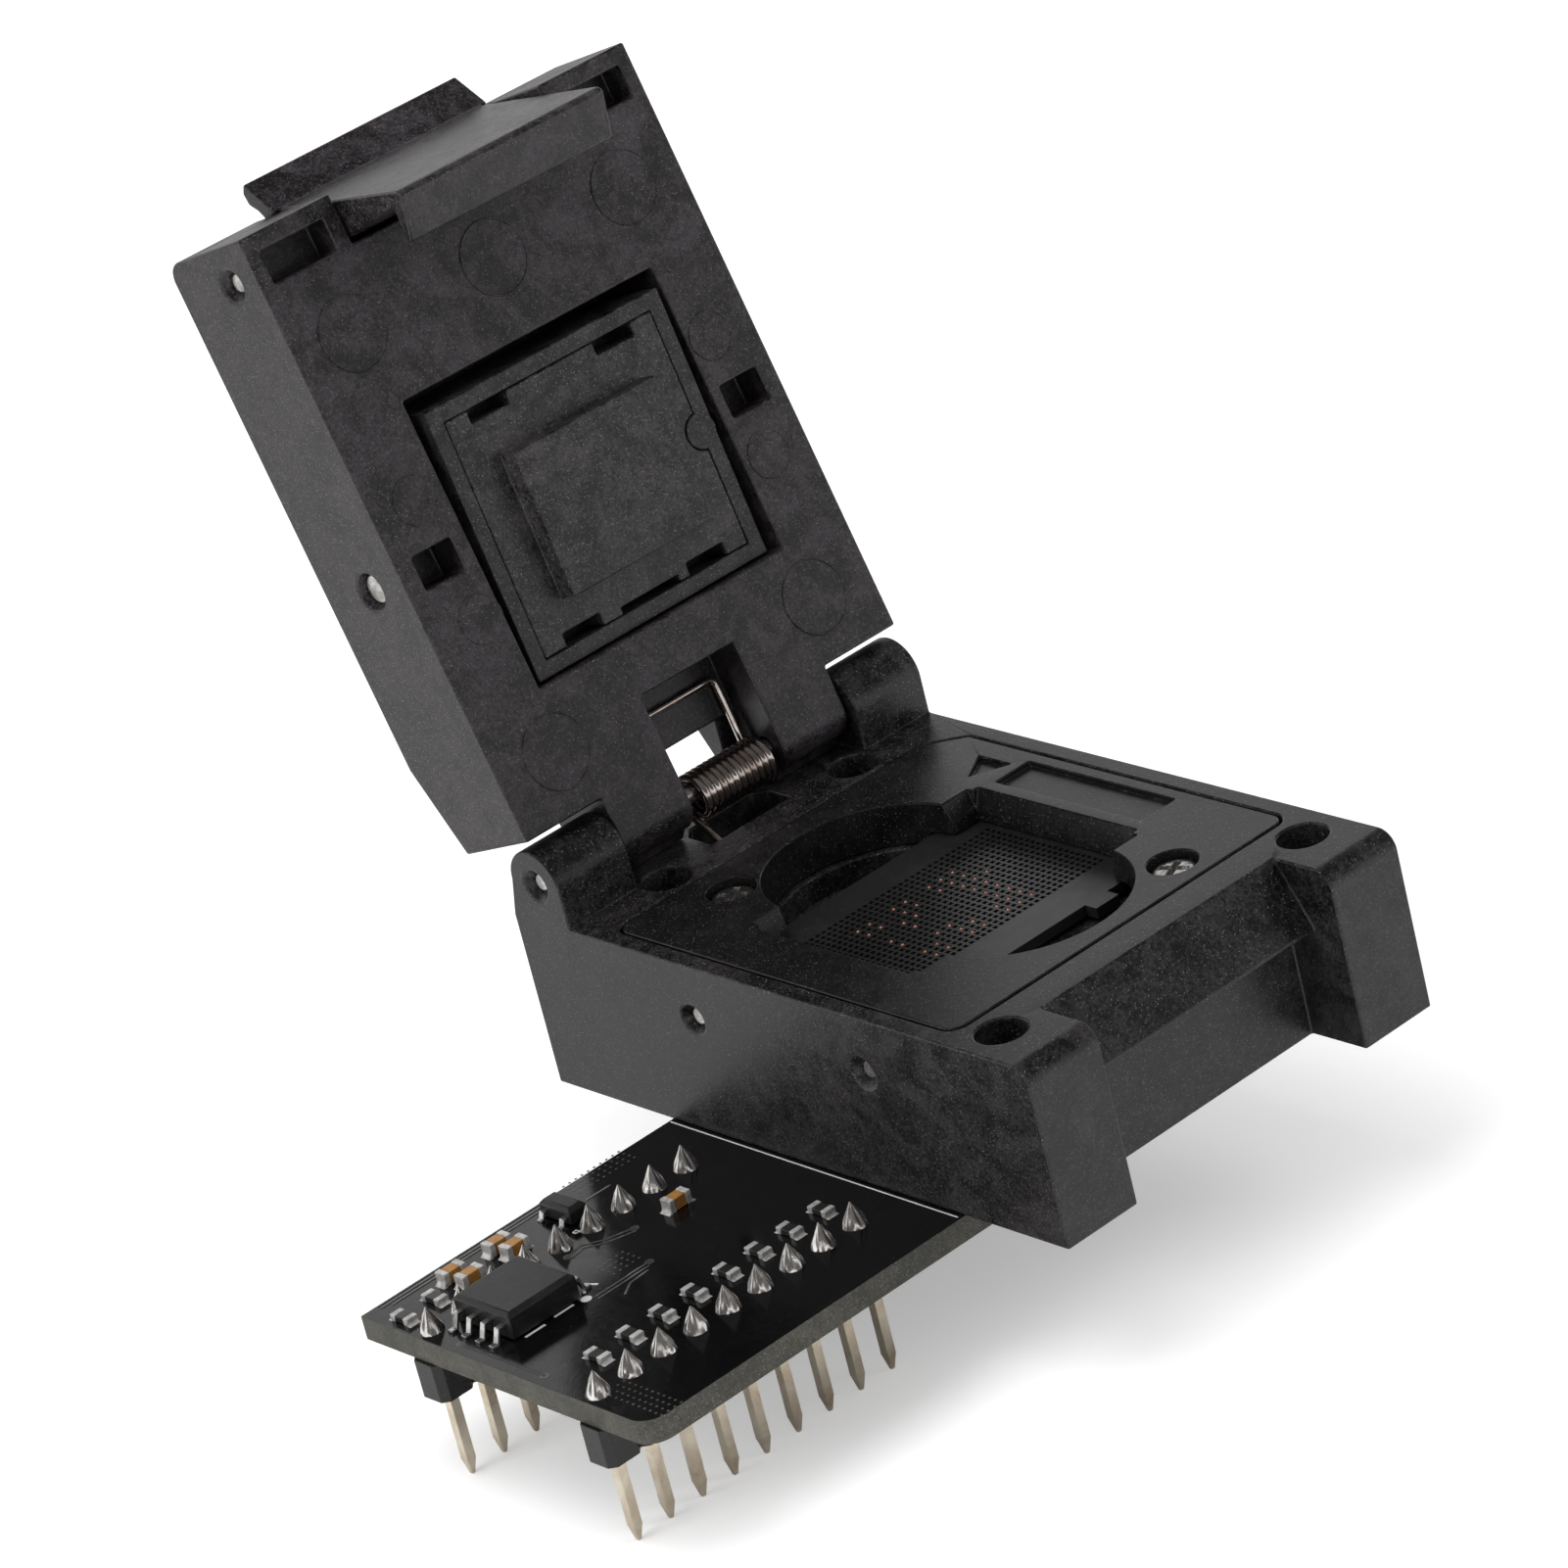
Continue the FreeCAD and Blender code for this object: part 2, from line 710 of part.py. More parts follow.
for axis, low, span, across, run in (("Y", chip_left, S.chip_width, chip_front, S.chip_length),
                                     ("X", chip_front, S.chip_length, chip_left, S.chip_width)):
    wedges = [[(edge - S.lead_in, S.base_height), (edge, lead_foot), (edge + S.lead_in, S.base_height)]
              for edge in (low, low + span)]
    pocket(guide, axis, across, across + run, *wedges)
for x, y in screws_at:
    pocket(guide, "Z", guide_low, S.base_height, (x, y, S.screw_radius + S.screw_clearance))
    pocket(guide, "Z", S.base_height - S.screw_head_height - S.screw_head_drop, S.base_height,
           (x, y, S.screw_head_radius + S.screw_head_gap))
mark_right = guide_right - S.mark_margin
mark_front = S.guide_front + S.mark_front
arrow_right, arrow_back = guide_right - S.arrow_margin, guide_back - S.arrow_inset
pocket(guide, "Z", S.base_height - S.mark_depth, S.base_height,
       rectangle(mark_right - S.mark_width, mark_right, mark_front, mark_front + S.mark_length),
       [(arrow_right, arrow_back), (arrow_right - S.arrow_length, arrow_back - S.arrow_width / 2),
        (arrow_right, arrow_back - S.arrow_width)])
keep(guide, "guide_frame", on_base)

# Contact field: a sprung plate with a well over each contact, and the block that holds the contacts


def contact_points():
    """Centres of the contacts under the chip's balls."""
    across = len(CONTACT_ROWS[0])
    pitch = S.contact_pitch.number
    left = chip_x.number - pitch * (across - 1) / 2
    back = chip_y.number + S.field_shift.number + pitch * (len(CONTACT_ROWS) - 1) / 2
    return [(left + pitch * column, back - pitch * row) for row, line in enumerate(CONTACT_ROWS)
            for column, mark in enumerate(line) if mark == "#"]


def contact_boxes(side, low, high):
    """A square bar at each contact between two levels."""
    half = float(side) / 2
    return [block(x - half, x + half, y - half, y + half, low, high) for x, y in contact_points()]


def drilled(label, body, side, low, high):
    """A body with a square well at each contact."""
    wells = doc.addObject("Part::Feature", f"{label}_wells")
    wells.Shape = Part.makeCompound(contact_boxes(side, low, high))
    cut = doc.addObject("Part::Cut", label)
    cut.Base = body
    cut.Tool = wells
    return keep(cut, label, on_base)


plate_low = plate_top - S.plate_thickness
block_top = plate_low - S.plate_travel - S.block_gap
tab_left = chip_x + S.tab_shift
plate = new_body("plate_blank")
pad(plate, "Z", plate_low, plate_top, [
    (plate_left, plate_front), (tab_left, plate_front), (tab_left, plate_front - S.tab_reach),
    (tab_left + S.tab_width, plate_front - S.tab_reach), (tab_left + S.tab_width, plate_front),
    (plate_right, plate_front), (plate_right, plate_back), (plate_left, plate_back)])
drilled("contact_plate", plate, S.contact_well, plate_low - 1, plate_top + 1)

plate_springs_at = [(x, y) for x in (plate_left + S.plate_spring_inset, plate_right - S.plate_spring_inset)
                    for y in (plate_front + S.plate_spring_inset_y, plate_back - S.plate_spring_inset_y)]
carrier = new_body("contact_block")
pad(carrier, "Z", 0, block_top, rectangle(block_left, block_right, block_front, block_back))
room = S.plate_spring_radius + S.plate_spring_wire / 2 + S.spring_room
pocket(carrier, "Z", block_top - S.plate_spring_depth, block_top, *[
    rectangle(x - room, x + room, y - room, y + room) for x, y in plate_springs_at])
pocket(carrier, "X", block_left, block_right,
       *[(y, dowel_z, S.dowel_radius) for y in dowels_y])
keep(carrier, "contact_block", on_base)
solids("contact_pins", contact_boxes(S.contact_side, block_top, plate_top + S.contact_stand), on_base)
solids("plate_springs", [
    coil((float(x), float(y)), "Z", float(block_top - S.plate_spring_depth), float(plate_low),
         float(S.plate_spring_radius), float(S.plate_spring_wire), S.plate_spring_turns)
    for x, y in plate_springs_at], on_base)


def cylinder(x, y, z, radius, length, direction=(0, 0, 1)):
    """A cylinder from a point along a direction."""
    return Part.makeCylinder(float(radius), float(length), FreeCAD.Vector(float(x), float(y), float(z)),
                             FreeCAD.Vector(*direction))


def guide_screw(x, y):
    """A flat-headed screw with a cross recess, seated below the guide's top."""
    top = S.base_height - S.screw_head_drop
    under = top - S.screw_head_height
    sides = [(math.cos(math.pi * k / 6), math.sin(math.pi * k / 6)) for k in range(12)]
    levels = ((S.screw_radius, top - S.screw_length), (S.screw_radius, under), (S.screw_head_radius, under),
              (S.screw_head_radius, top))
    screw = ringed([
        [FreeCAD.Vector(float(x + a * radius), float(y + b * radius), float(level)) for a, b in sides]
        for radius, level in levels])
    arm, half = S.screw_recess_reach, S.screw_recess_half
    recess_floor = top - S.screw_recess_depth
    for along, across in ((arm, half), (half, arm)):
        screw = screw.cut(block(x - along, x + along, y - across, y + across, recess_floor, top + 1))
    return screw


solids("guide_screws", [guide_screw(x, y) for x, y in screws_at], on_base)
solids("base_dowels", [
    cylinder(S.sink_depth, y, dowel_z, S.dowel_radius, S.base_width - S.sink_depth * 2, (1, 0, 0))
    for y in dowels_y], on_base)
rod("hinge_pin", S.sink_depth, S.base_width - S.sink_depth, hinge_y, hinge_z, S.hinge_pin_radius, on_base)

# Lid, modelled shut about the hinge axis: Y runs back from the hinge, so the lid reaches to -Y


def sine(angle):
    return Size(f"sin({angle.text} * 1 deg)", math.sin(math.radians(angle.number)))


def cosine(angle):
    return Size(f"cos({angle.text} * 1 deg)", math.cos(math.radians(angle.number)))


lid_top = S.lid_thickness - S.lid_face
lid_left = -S.lid_overhang
lid_right = S.base_width + S.lid_overhang
lid_reach = hinge_y + S.lid_front_overhang
mirror_x = S.base_width
chip_u = hinge_y - chip_y
window_low = chip_u - S.window_back_reach
window_high = chip_u + S.window_front_reach
cross_u = chip_u - S.cross_shift
boss_u = chip_u - S.boss_shift_y
boss_x = (S.window_left + S.base_width - S.window_right_wall) / 2 + S.boss_shift_x
corner_low = lid_reach - S.corner_window_low
corner_high = lid_reach - S.corner_window_high
latch_u = lid_reach - S.latch_inset
latch_bay_low = lid_reach - S.latch_bay_depth
hook_point = hinge_y - S.recess_wall + S.hook_wall_gap
hook_catch = S.hinge_rise + S.ledge_drop + S.hook_ledge_gap
hook_bottom = hook_catch + S.hook_thickness

lid = new_body("lid_frame")
pad(lid, "X", lid_left, lid_right, [
    (-S.lid_heel, -S.lid_face), (-lid_reach, -S.lid_face), (-lid_reach, lid_top),
    (-S.lid_heel - S.lid_bevel, lid_top), (-S.lid_heel, lid_top - S.lid_bevel_drop)])
dress(lid, "Fillet", lambda p, t: abs(p.y + float(lid_reach)) < 0.01 and abs(p.z - float(lid_top)) < 0.01,
      S.lid_round)
stop = hinge_z - S.base_height - S.stop_gap
stop_near = (stop * sine(S.open_angle), -stop * cosine(S.open_angle))
stop_far = (stop_near[0] + S.stop_reach * cosine(S.open_angle),
            stop_near[1] + S.stop_reach * sine(S.open_angle))
heel_top = lid_top - S.lid_bevel_drop - S.heel_drop
heel_y = -S.lid_heel - S.heel_overlap
slot_floor = S.slot_depth - S.lid_face
for low, high in ((S.post_width + S.knuckle_gap, slot_left), (slot_right, post_right - S.knuckle_gap)):
    pad(lid, "X", low, high, (0, 0, S.lid_face))
    pad(lid, "X", low, high, [(0, -S.lid_face), stop_near, stop_far, (-S.lid_heel, heel_top),
                              (heel_y, heel_top), (heel_y, -S.lid_face)])
pad(lid, "X", slot_right - S.slot_step, slot_right, [
    stop_far, (heel_y, heel_top), (heel_y, slot_floor + S.step_rise)])
pocket(lid, "X", slot_left, slot_right, rectangle(-S.slot_end, 0, -S.lid_face - 1, slot_floor))
pocket(lid, "X", lid_left, lid_right, (0, 0, S.hinge_pin_radius + S.running))

window_right = S.base_width - S.window_right_wall
window_roof = S.window_depth - S.lid_face
pocket(lid, "Z", -S.lid_face, window_roof,
       rectangle(S.window_left, window_right, -window_high, -window_low))
small_windows = [rectangle(S.check_window_x, S.check_window_x + S.check_window_width,
                           -cross_u - S.check_window_length / 2, -cross_u + S.check_window_length / 2),
                 rectangle(S.corner_window_x, S.corner_window_x + S.corner_window_width,
                           -corner_high, -corner_low)]
for opening, depth in zip(small_windows, (S.check_window_depth, S.corner_window_depth)):
    mirrored = [(mirror_x - x, y) for x, y in opening]
    pocket(lid, "Z", -S.lid_face, depth - S.lid_face, opening, mirrored)
bay_right = mirror_x - S.latch_bay_left
pocket(lid, "Z", -S.lid_face, lid_top,
       rectangle(S.latch_bay_left, bay_right, -lid_reach - 1, -corner_low))
pocket(lid, "Z", -0.2, lid_top, rectangle(S.latch_bay_left, bay_right, -lid_reach - 1, -latch_bay_low))
lever_bay_left = S.lever_left - S.lever_bay_gap
pocket(lid, "Z", S.lever_bay_z, lid_top,
       rectangle(lever_bay_left, mirror_x - lever_bay_left, -lid_reach - 1, -latch_bay_low))
latch_springs_x = (S.latch_bay_left + S.latch_spring_x, bay_right - S.latch_spring_x)
room = S.latch_spring_radius + S.latch_spring_wire / 2 + S.spring_room
pocket(lid, "Y", -latch_bay_low, -latch_bay_low + S.latch_spring_depth, *[
    rectangle(x - room, x + room, S.latch_spring_z - room, S.latch_spring_z + room) for x in latch_springs_x])
for y, z, radius, outer in ((-cross_u, S.cross_z, S.cross_radius, S.cross_sink),
                            (-latch_u, S.latch_z, S.latch_pin_radius, S.latch_sink)):
    pocket(lid, "X", lid_left, lid_right, (y, z, radius))
    for side in (-1, 1):
        sink(lid, y, z, outer, radius, side, S.sink_depth, lid_left, lid_right)
keep(lid, "lid_frame", on_lid)

# Pressure frame, insert and their pin

frame_left = S.window_left + S.frame_gap
frame_right = window_right - S.frame_gap
frame_front = -(window_high - S.frame_high_gap)
frame_back = -(window_low + S.frame_low_gap)
frame_face = S.frame_sunk - S.lid_face
frame_top = frame_face + S.frame_thickness
insert_roof = frame_face + S.insert_thickness + S.insert_gap
rock_angle = S.open_angle - S.frame_rock
sine_step = sine(S.open_angle) - sine(rock_angle)
cosine_step = cosine(S.open_angle) - cosine(rock_angle)


def on_rocked(item):
    """Hang an object in the open lid, rocked on the pressure pin so that its free end stands proud."""
    item.Placement = FreeCAD.Placement(FreeCAD.Vector(), FreeCAD.Rotation(FreeCAD.Vector(-1, 0, 0), 100))
    bind(item, "Placement.Rotation.Angle", rock_angle)
    place(item, S.base_x, hinge_y - S.base_y - cross_u * cosine_step + S.cross_z * sine_step,
          board_top + hinge_z + cross_u * sine_step + S.cross_z * cosine_step)
    return item


pressure_frame = new_body("pressure_frame")
pad(pressure_frame, "Z", frame_face, frame_top, rectangle(frame_left, frame_right, frame_front, frame_back))
nest = (frame_left + S.frame_wall, frame_right - S.frame_wall,
        frame_front + S.frame_wall, frame_back - S.frame_wall)
pocket(pressure_frame, "Z", frame_face, insert_roof, rectangle(*nest))
pad(pressure_frame, "Z", frame_face, insert_roof, (nest[1], -boss_u, S.tongue_radius))
pocket(pressure_frame, "X", frame_left, frame_right, (-cross_u, S.cross_z, S.cross_radius + S.running))
inset = S.pressure_spring_inset
pressure_springs_at = [(x, y) for x in (frame_left + inset, frame_right - inset)
                       for y in (frame_front + inset, frame_back - inset)]
room = S.pressure_spring_radius + S.pressure_spring_wire / 2 + S.pressure_spring_room
pocket(pressure_frame, "Z", frame_top - S.pressure_spring_depth, frame_top, *[
    rectangle(x - room, x + room, y - room, y + room) for x, y in pressure_springs_at])
keep(pressure_frame, "pressure_frame", on_rocked)

insert = new_body("pressure_insert")
gap = S.insert_gap
nest_in = (nest[0] + gap, nest[1] - gap, nest[2] + gap, nest[3] - gap)
pad(insert, "Z", frame_face, frame_face + S.insert_thickness, rectangle(*nest_in))
pad(insert, "Z", frame_face - S.boss_height, frame_face,
    rectangle(boss_x - S.boss_width / 2, boss_x + S.boss_width / 2,
              -boss_u - S.boss_length / 2, -boss_u + S.boss_length / 2))
insert_low = frame_face
insert_high = frame_face + S.insert_thickness
notches = []
for x in (nest_in[0] + S.notch_inset, nest_in[1] - S.notch_inset - S.notch_width):
    notches.append(rectangle(x, x + S.notch_width, nest_in[2] - 1, nest_in[2] + S.notch_depth))
    notches.append(rectangle(x, x + S.notch_width, nest_in[3] - S.notch_depth, nest_in[3] + 1))
middle_notch = nest_in[0] + S.middle_notch_x
notches.append(rectangle(middle_notch, middle_notch + S.middle_notch_width,
                         nest_in[3] - S.middle_notch_depth, nest_in[3] + 1))
pocket(insert, "Z", insert_low, insert_high, *notches)
pocket(insert, "Z", insert_low, insert_high, (nest[1], -boss_u, S.tongue_radius + S.insert_gap))
keep(insert, "pressure_insert", on_rocked)
rod("pressure_pin", lid_left + S.sink_depth, lid_right - S.sink_depth, -cross_u, S.cross_z,
    S.cross_radius, on_lid)
pressure_seat = frame_top - S.pressure_spring_depth
pressure_edge = S.pressure_spring_radius + S.pressure_spring_wire / 2
solids("pressure_springs", [
    coil((float(x), float(y)), "Z",
         float(pressure_seat + (y + cross_u + pressure_edge) * sine(S.frame_rock)), float(window_roof),
         float(S.pressure_spring_radius), float(S.pressure_spring_wire), S.pressure_spring_turns)
    for x, y in pressure_springs_at], on_lid)

# Latch: hook, arm and thumb lever in one piece, turning on a pin in the lid

latch = new_body("latch")
latch_left = S.latch_bay_left + S.latch_gap
latch_right = mirror_x - latch_left
crease_y = -latch_u - S.crease
crease_z = S.latch_z + S.crease_rise
root = (-latch_u - S.lever_root, S.latch_z + S.lever_root_rise)
pad(latch, "X", latch_left, latch_right, [
    (crease_y, crease_z), root, (-latch_u + S.arm_heel, S.latch_z + S.arm_heel_rise),
    (-latch_u + S.arm_back, S.latch_z - S.arm_back_low), (-corner_low - S.arm_face, -S.arm_face_z),
    (-corner_low - S.arm_inside, -S.arm_inside_z), (-hook_point - S.hook_inside, -hook_catch),
    (-hook_point, -hook_catch), (-hook_point, -hook_catch - S.hook_toe),
    (-hook_point - S.hook_slope, -hook_bottom), (-hook_point - S.hook_heel, -hook_bottom + S.hook_heel_rise)])
pad(latch, "X", S.lever_left, mirror_x - S.lever_left, [
    (crease_y, crease_z), (crease_y - S.lever_reach, crease_z + S.lever_rise),
    (crease_y - S.lever_lip, crease_z + S.lever_lip_rise),
    (crease_y - S.lever_top, crease_z + S.lever_top_rise),
    (crease_y - S.lever_neck, crease_z + S.lever_neck_rise),
    (crease_y + S.lever_throat, crease_z + S.lever_throat_rise), root])
pocket(latch, "X", latch_left, latch_right, (-latch_u, S.latch_z, S.latch_pin_radius + S.running))
keep(latch, "latch", on_lid)
rod("latch_pin", lid_left + S.sink_depth, lid_right - S.sink_depth, -latch_u, S.latch_z,
    S.latch_pin_radius, on_lid)
spring_face = latch_u - S.arm_heel - S.latch_spring_seat
solids("latch_springs", [
    coil((float(x), float(S.latch_spring_z)), "Y", float(-spring_face),
         float(-latch_bay_low + S.latch_spring_depth), float(S.latch_spring_radius),
         float(S.latch_spring_wire), S.latch_spring_turns) for x in latch_springs_x], on_lid)


def torsion_points():
    """The spring's wire from its foot in the base's slot, round the coil, to its leg on the open lid."""
    radius = S.coil_radius.number
    wire = S.coil_wire.number
    centre_y = hinge_y.number
    centre_z = hinge_z.number - S.coil_sag.number
    start = slot_left.number + S.coil_inset.number + wire / 2
    end = start + S.coil_length.number - wire
    steps = 7
    first = -math.radians(S.foot_turn.number)
    last = math.radians(90 - S.open_angle.number) + 2 * math.pi * S.coil_turns.number
    foot_y = centre_y + radius * math.cos(first)
    foot_z = centre_z + radius * math.sin(first)
    reach = foot_y - foot_front.number - wire / 2 - S.leg_gap.number
    points = [(start, foot_y - reach, foot_z - reach / math.tan(-first))]
    count = round((last - first) / (2 * math.pi) * steps)
    for k in range(count + 1):
        share = k / count
        turn = first + (last - first) * share
        points.append((start + (end - start) * share, centre_y + radius * math.cos(turn),
                       centre_z + radius * math.sin(turn)))
    swing = math.radians(S.open_angle.number)
    up = FreeCAD.Vector(0, -math.cos(swing), math.sin(swing))
    out = FreeCAD.Vector(0, -math.sin(swing), -math.cos(swing))
    hinge = FreeCAD.Vector(end, centre_y, hinge_z.number)
    lie = -(slot_floor.number - wire / 2 - S.leg_gap.number)
    leg_start = hinge + up * S.leg_bend.number + out * lie
    corner = hinge + up * S.leg_reach.number + out * lie
    left = FreeCAD.Vector(-1, 0, 0)
    for point in (leg_start, corner - up * wire, corner - up * (wire * 0.3) + left * (wire * 0.3),
                  corner + left * wire, corner + left * S.leg_run.number):
        points.append(tuple(point))
    return points


solids("torsion_spring", [helix_wire(torsion_points(), S.coil_wire.number, 4)], on_base)

# Board, header strips and pins, in the part's own frame

board_left = -(S.pin_pitch * 4) - S.board_margin
board = new_body("circuit_board")
pad(board, "Z", S.strip_height, board_top, rectangle(board_left, board_left + S.board_length,
                                                     -S.board_width / 2, S.board_width / 2))
dress(board, "Fillet", lambda p, t: math.hypot(
    p.x - float(board_left), p.y + float(S.board_width) / 2) < 0.01, S.board_corner)
pins_across = range(-(SIZES["pins_per_row"] // 2), SIZES["pins_per_row"] // 2 + 1)
pin_rows = {"front": -S.row_gap / 2, "rear": S.row_gap / 2}
pin_hole = S.pin_side / 2 + S.pin_gap
pocket(board, "Z", S.strip_height, board_top, *[
    rectangle(S.pin_pitch * k - pin_hole, S.pin_pitch * k + pin_hole, y - pin_hole, y + pin_hole)
    for y in pin_rows.values() for k in pins_across])
keep(board, "circuit_board")


def header_strip(row, y):
    """The moulded strip of a pin row, notched between its pins."""
    strip = new_body(f"header_strip_{row}")
    half = S.pin_pitch / 2
    low, high = -half * SIZES["pins_per_row"], half * SIZES["pins_per_row"]
    side = S.strip_width / 2
    pad(strip, "Z", 0, S.strip_height, rectangle(low, high, y - side, y + side))
    notches = []
    for k in list(pins_across) + [pins_across[-1] + 1]:
        x = S.pin_pitch * k - half
        for sense in (-1, 1):
            edge = y + side * sense
            notches.append([(x - S.strip_notch, edge), (x, edge - S.strip_notch * sense),
                            (x + S.strip_notch, edge), (x, edge + S.strip_notch * sense)])
    pocket(strip, "Z", 0, S.strip_height, *notches)
    pocket(strip, "Z", 0, S.strip_height, *[
        rectangle(S.pin_pitch * k - pin_hole, S.pin_pitch * k + pin_hole, y - pin_hole, y + pin_hole)
        for k in pins_across])
    return keep(strip, f"header_strip_{row}")


def header_pin(x, y):
    """A square pin drawn in to a blunt point."""
    half = float(S.pin_side) / 2
    foot = -float(S.pin_below)
    levels = ((half * float(S.pin_tip), foot), (half, foot + float(S.pin_point)), (half, float(board_top)))
    corners = ((-1, -1), (1, -1), (1, 1), (-1, 1))
    return ringed([[FreeCAD.Vector(x + a * reach, y + b * reach, level) for a, b in corners]
                   for reach, level in levels])


def solder_joint(x, y):
    """A solder cone drawn up over a pin's end, hollow-sided like wet solder."""
    foot = float(S.joint_radius)
    height = float(S.joint_height)
    levels = ((foot, 0), (foot * 0.5, height * 0.5), (float(S.joint_tip), height))
    sides = [(math.cos(math.pi * k / 4), math.sin(math.pi * k / 4)) for k in range(8)]
    return ringed([[FreeCAD.Vector(x + a * reach, y + b * reach, float(board_top) + level) for a, b in sides]
                   for reach, level in levels])


for row_name, row_y in pin_rows.items():
    header_strip(row_name, row_y)
    pin_points = [(float(S.pin_pitch) * k, float(row_y)) for k in pins_across]
    solids(f"header_pins_{row_name}", [header_pin(x, y) for x, y in pin_points])
    solids(f"solder_joints_{row_name}", [solder_joint(x, y) for x, y in pin_points])

# Small parts on the board, placed from the base's left front corner


def bent_lead(root, sense, y, width, reach, height, thickness):
    """A flat lead that leaves a body level, drops and ends in a foot on the board."""
    knee = reach * 0.35
    foot = reach * 0.6
    outline = [(0, height), (knee, height), (foot, 0), (reach, 0), (reach, thickness),
               (foot + thickness * 0.6, thickness), (knee + thickness * 0.6, height + thickness),
               (0, height + thickness)]
    points = [FreeCAD.Vector(root + sense * a, y - width / 2, b) for a, b in outline]
    return Part.Face(Part.makePolygon(points + points[:1])).extrude(FreeCAD.Vector(0, width, 0))


def moulded(label, x, y, width, length, low, high):
    """A moulded package whose top half tapers in."""
    body = new_body(label)
    pad(body, "Z", low, high, rectangle(x - width / 2, x + width / 2, y - length / 2, y + length / 2))
    dress(body, "Chamfer", lambda p, t: abs(p.z - float(high)) < 0.01 and abs(t.z) < 0.1, S.package_edge)
    return keep(body, label, on_base)


chip8_x, chip8_y = CHIP8_AT
moulded("memory_chip", chip8_x, chip8_y, S.chip8_side, S.chip8_side,
        S.chip8_lift, S.chip8_lift + S.chip8_height)
chip8_half = float(S.chip8_side) / 2
solids("memory_chip_leads", [
    bent_lead(chip8_x + sense * chip8_half, sense, chip8_y + float(S.chip8_pitch) * k, float(S.chip8_lead),
              float(S.chip8_reach), float(S.chip8_height) * 0.5, float(S.lead_thickness))
    for sense in (-1, 1) for k in (-1.5, -0.5, 0.5, 1.5)], on_base)
sot_x, sot_y = REGULATOR_AT
moulded("regulator", sot_x, sot_y, S.sot_width, S.sot_length, S.chip8_lift, S.chip8_lift + S.sot_height)
sot_half = float(S.sot_width) / 2
solids("regulator_leads", [
    bent_lead(sot_x + sense * sot_half, sense, sot_y + float(S.sot_pitch) * k, float(S.chip8_lead),
              float(S.sot_reach), float(S.sot_height) * 0.4, float(S.lead_thickness) * 0.75)
    for sense, k in ((-1, -0.5), (-1, 0.5), (1, 0))], on_base)


def ended_chip(x, y, run, across, height, along_x):
    """A small part with a metal cap at each end: the body and two caps that stand a little proud."""
    cap, proud = float(S.terminal), float(S.terminal_proud)
    half, side = run / 2, across / 2
    spans = [(-half + cap, half - cap, side - proud, height - proud, proud),
             (-half, -half + cap, side, height, 0), (half - cap, half, side, height, 0)]
    shapes = []
    for low, high, wide, top, floor in spans:
        if along_x:
            shapes.append(block(x + low, x + high, y - wide, y + wide, floor, top))
        else:
            shapes.append(block(x - wide, x + wide, y + low, y + high, floor, top))
    return shapes


for number, (x, y) in enumerate(CAPACITORS_AT, start=1):
    solids(f"capacitor_{number}", ended_chip(x, y, float(S.capacitor_length), float(S.capacitor_width),
                                             float(S.capacitor_height), True), on_base)
for number, (x, y) in enumerate(RESISTORS_AT, start=1):
    solids(f"resistor_{number}", ended_chip(x, y, float(S.resistor_length), float(S.resistor_width),
                                            float(S.resistor_height), False), on_base)

# Check every object, then write one file for each node

doc.recompute()
for item in doc.Objects:
    if any(state in ("Invalid", "Error") for state in item.State):
        raise RuntimeError(f"{item.Label} did not build: {item.State}")
os.makedirs("parts", exist_ok=True)
for label, item in nodes.items():
    shape = item.Shape
    if shape.isNull() or not shape.isValid() or not shape.Solids or shape.Volume <= 0:
        raise RuntimeError(f"{label} has no sound shape")
    shape.exportStep(f"parts/{label}.step")
    box = shape.BoundBox
    print(f"{label}: {len(shape.Solids)} solid(s), {shape.Volume:.2f} mm3, "
          f"{box.XLength:.2f} x {box.YLength:.2f} x {box.ZLength:.2f} mm")
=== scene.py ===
"""Dresses the clamshell chip socket and its adapter board, and lights them in a plain studio."""

from __future__ import annotations

import logging
import math
from dataclasses import dataclass
from enum import Enum
from functools import cache
from typing import Callable, Iterable, Sequence

import bmesh
import bpy
from mathutils import Matrix, Vector

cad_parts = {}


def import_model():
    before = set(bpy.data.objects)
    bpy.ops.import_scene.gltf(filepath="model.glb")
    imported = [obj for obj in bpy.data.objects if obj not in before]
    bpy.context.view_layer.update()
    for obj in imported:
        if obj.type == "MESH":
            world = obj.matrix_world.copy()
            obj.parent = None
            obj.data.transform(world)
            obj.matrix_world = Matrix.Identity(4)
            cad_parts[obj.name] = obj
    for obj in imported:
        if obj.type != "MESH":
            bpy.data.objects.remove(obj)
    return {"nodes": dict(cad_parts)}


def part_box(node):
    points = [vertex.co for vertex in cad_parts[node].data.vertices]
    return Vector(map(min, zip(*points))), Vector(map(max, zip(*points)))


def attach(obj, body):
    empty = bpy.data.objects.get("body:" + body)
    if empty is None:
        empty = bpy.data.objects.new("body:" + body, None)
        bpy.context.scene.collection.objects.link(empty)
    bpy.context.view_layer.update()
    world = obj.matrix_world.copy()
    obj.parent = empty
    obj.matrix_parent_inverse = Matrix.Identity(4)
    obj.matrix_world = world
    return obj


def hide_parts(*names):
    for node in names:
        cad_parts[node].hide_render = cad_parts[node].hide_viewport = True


LOG = logging.getLogger("chip_socket")
MM = 0.001
BASE_CORNER = Vector((13.87, -21.95, 4.14))
HINGE_LINE = Vector((13.87, 20.86, 18.53))
OPEN_ANGLE = math.radians(108.66)
BOARD_TOP = 4.14
Point = Sequence[float]
Corners = tuple[tuple[float, float], ...]


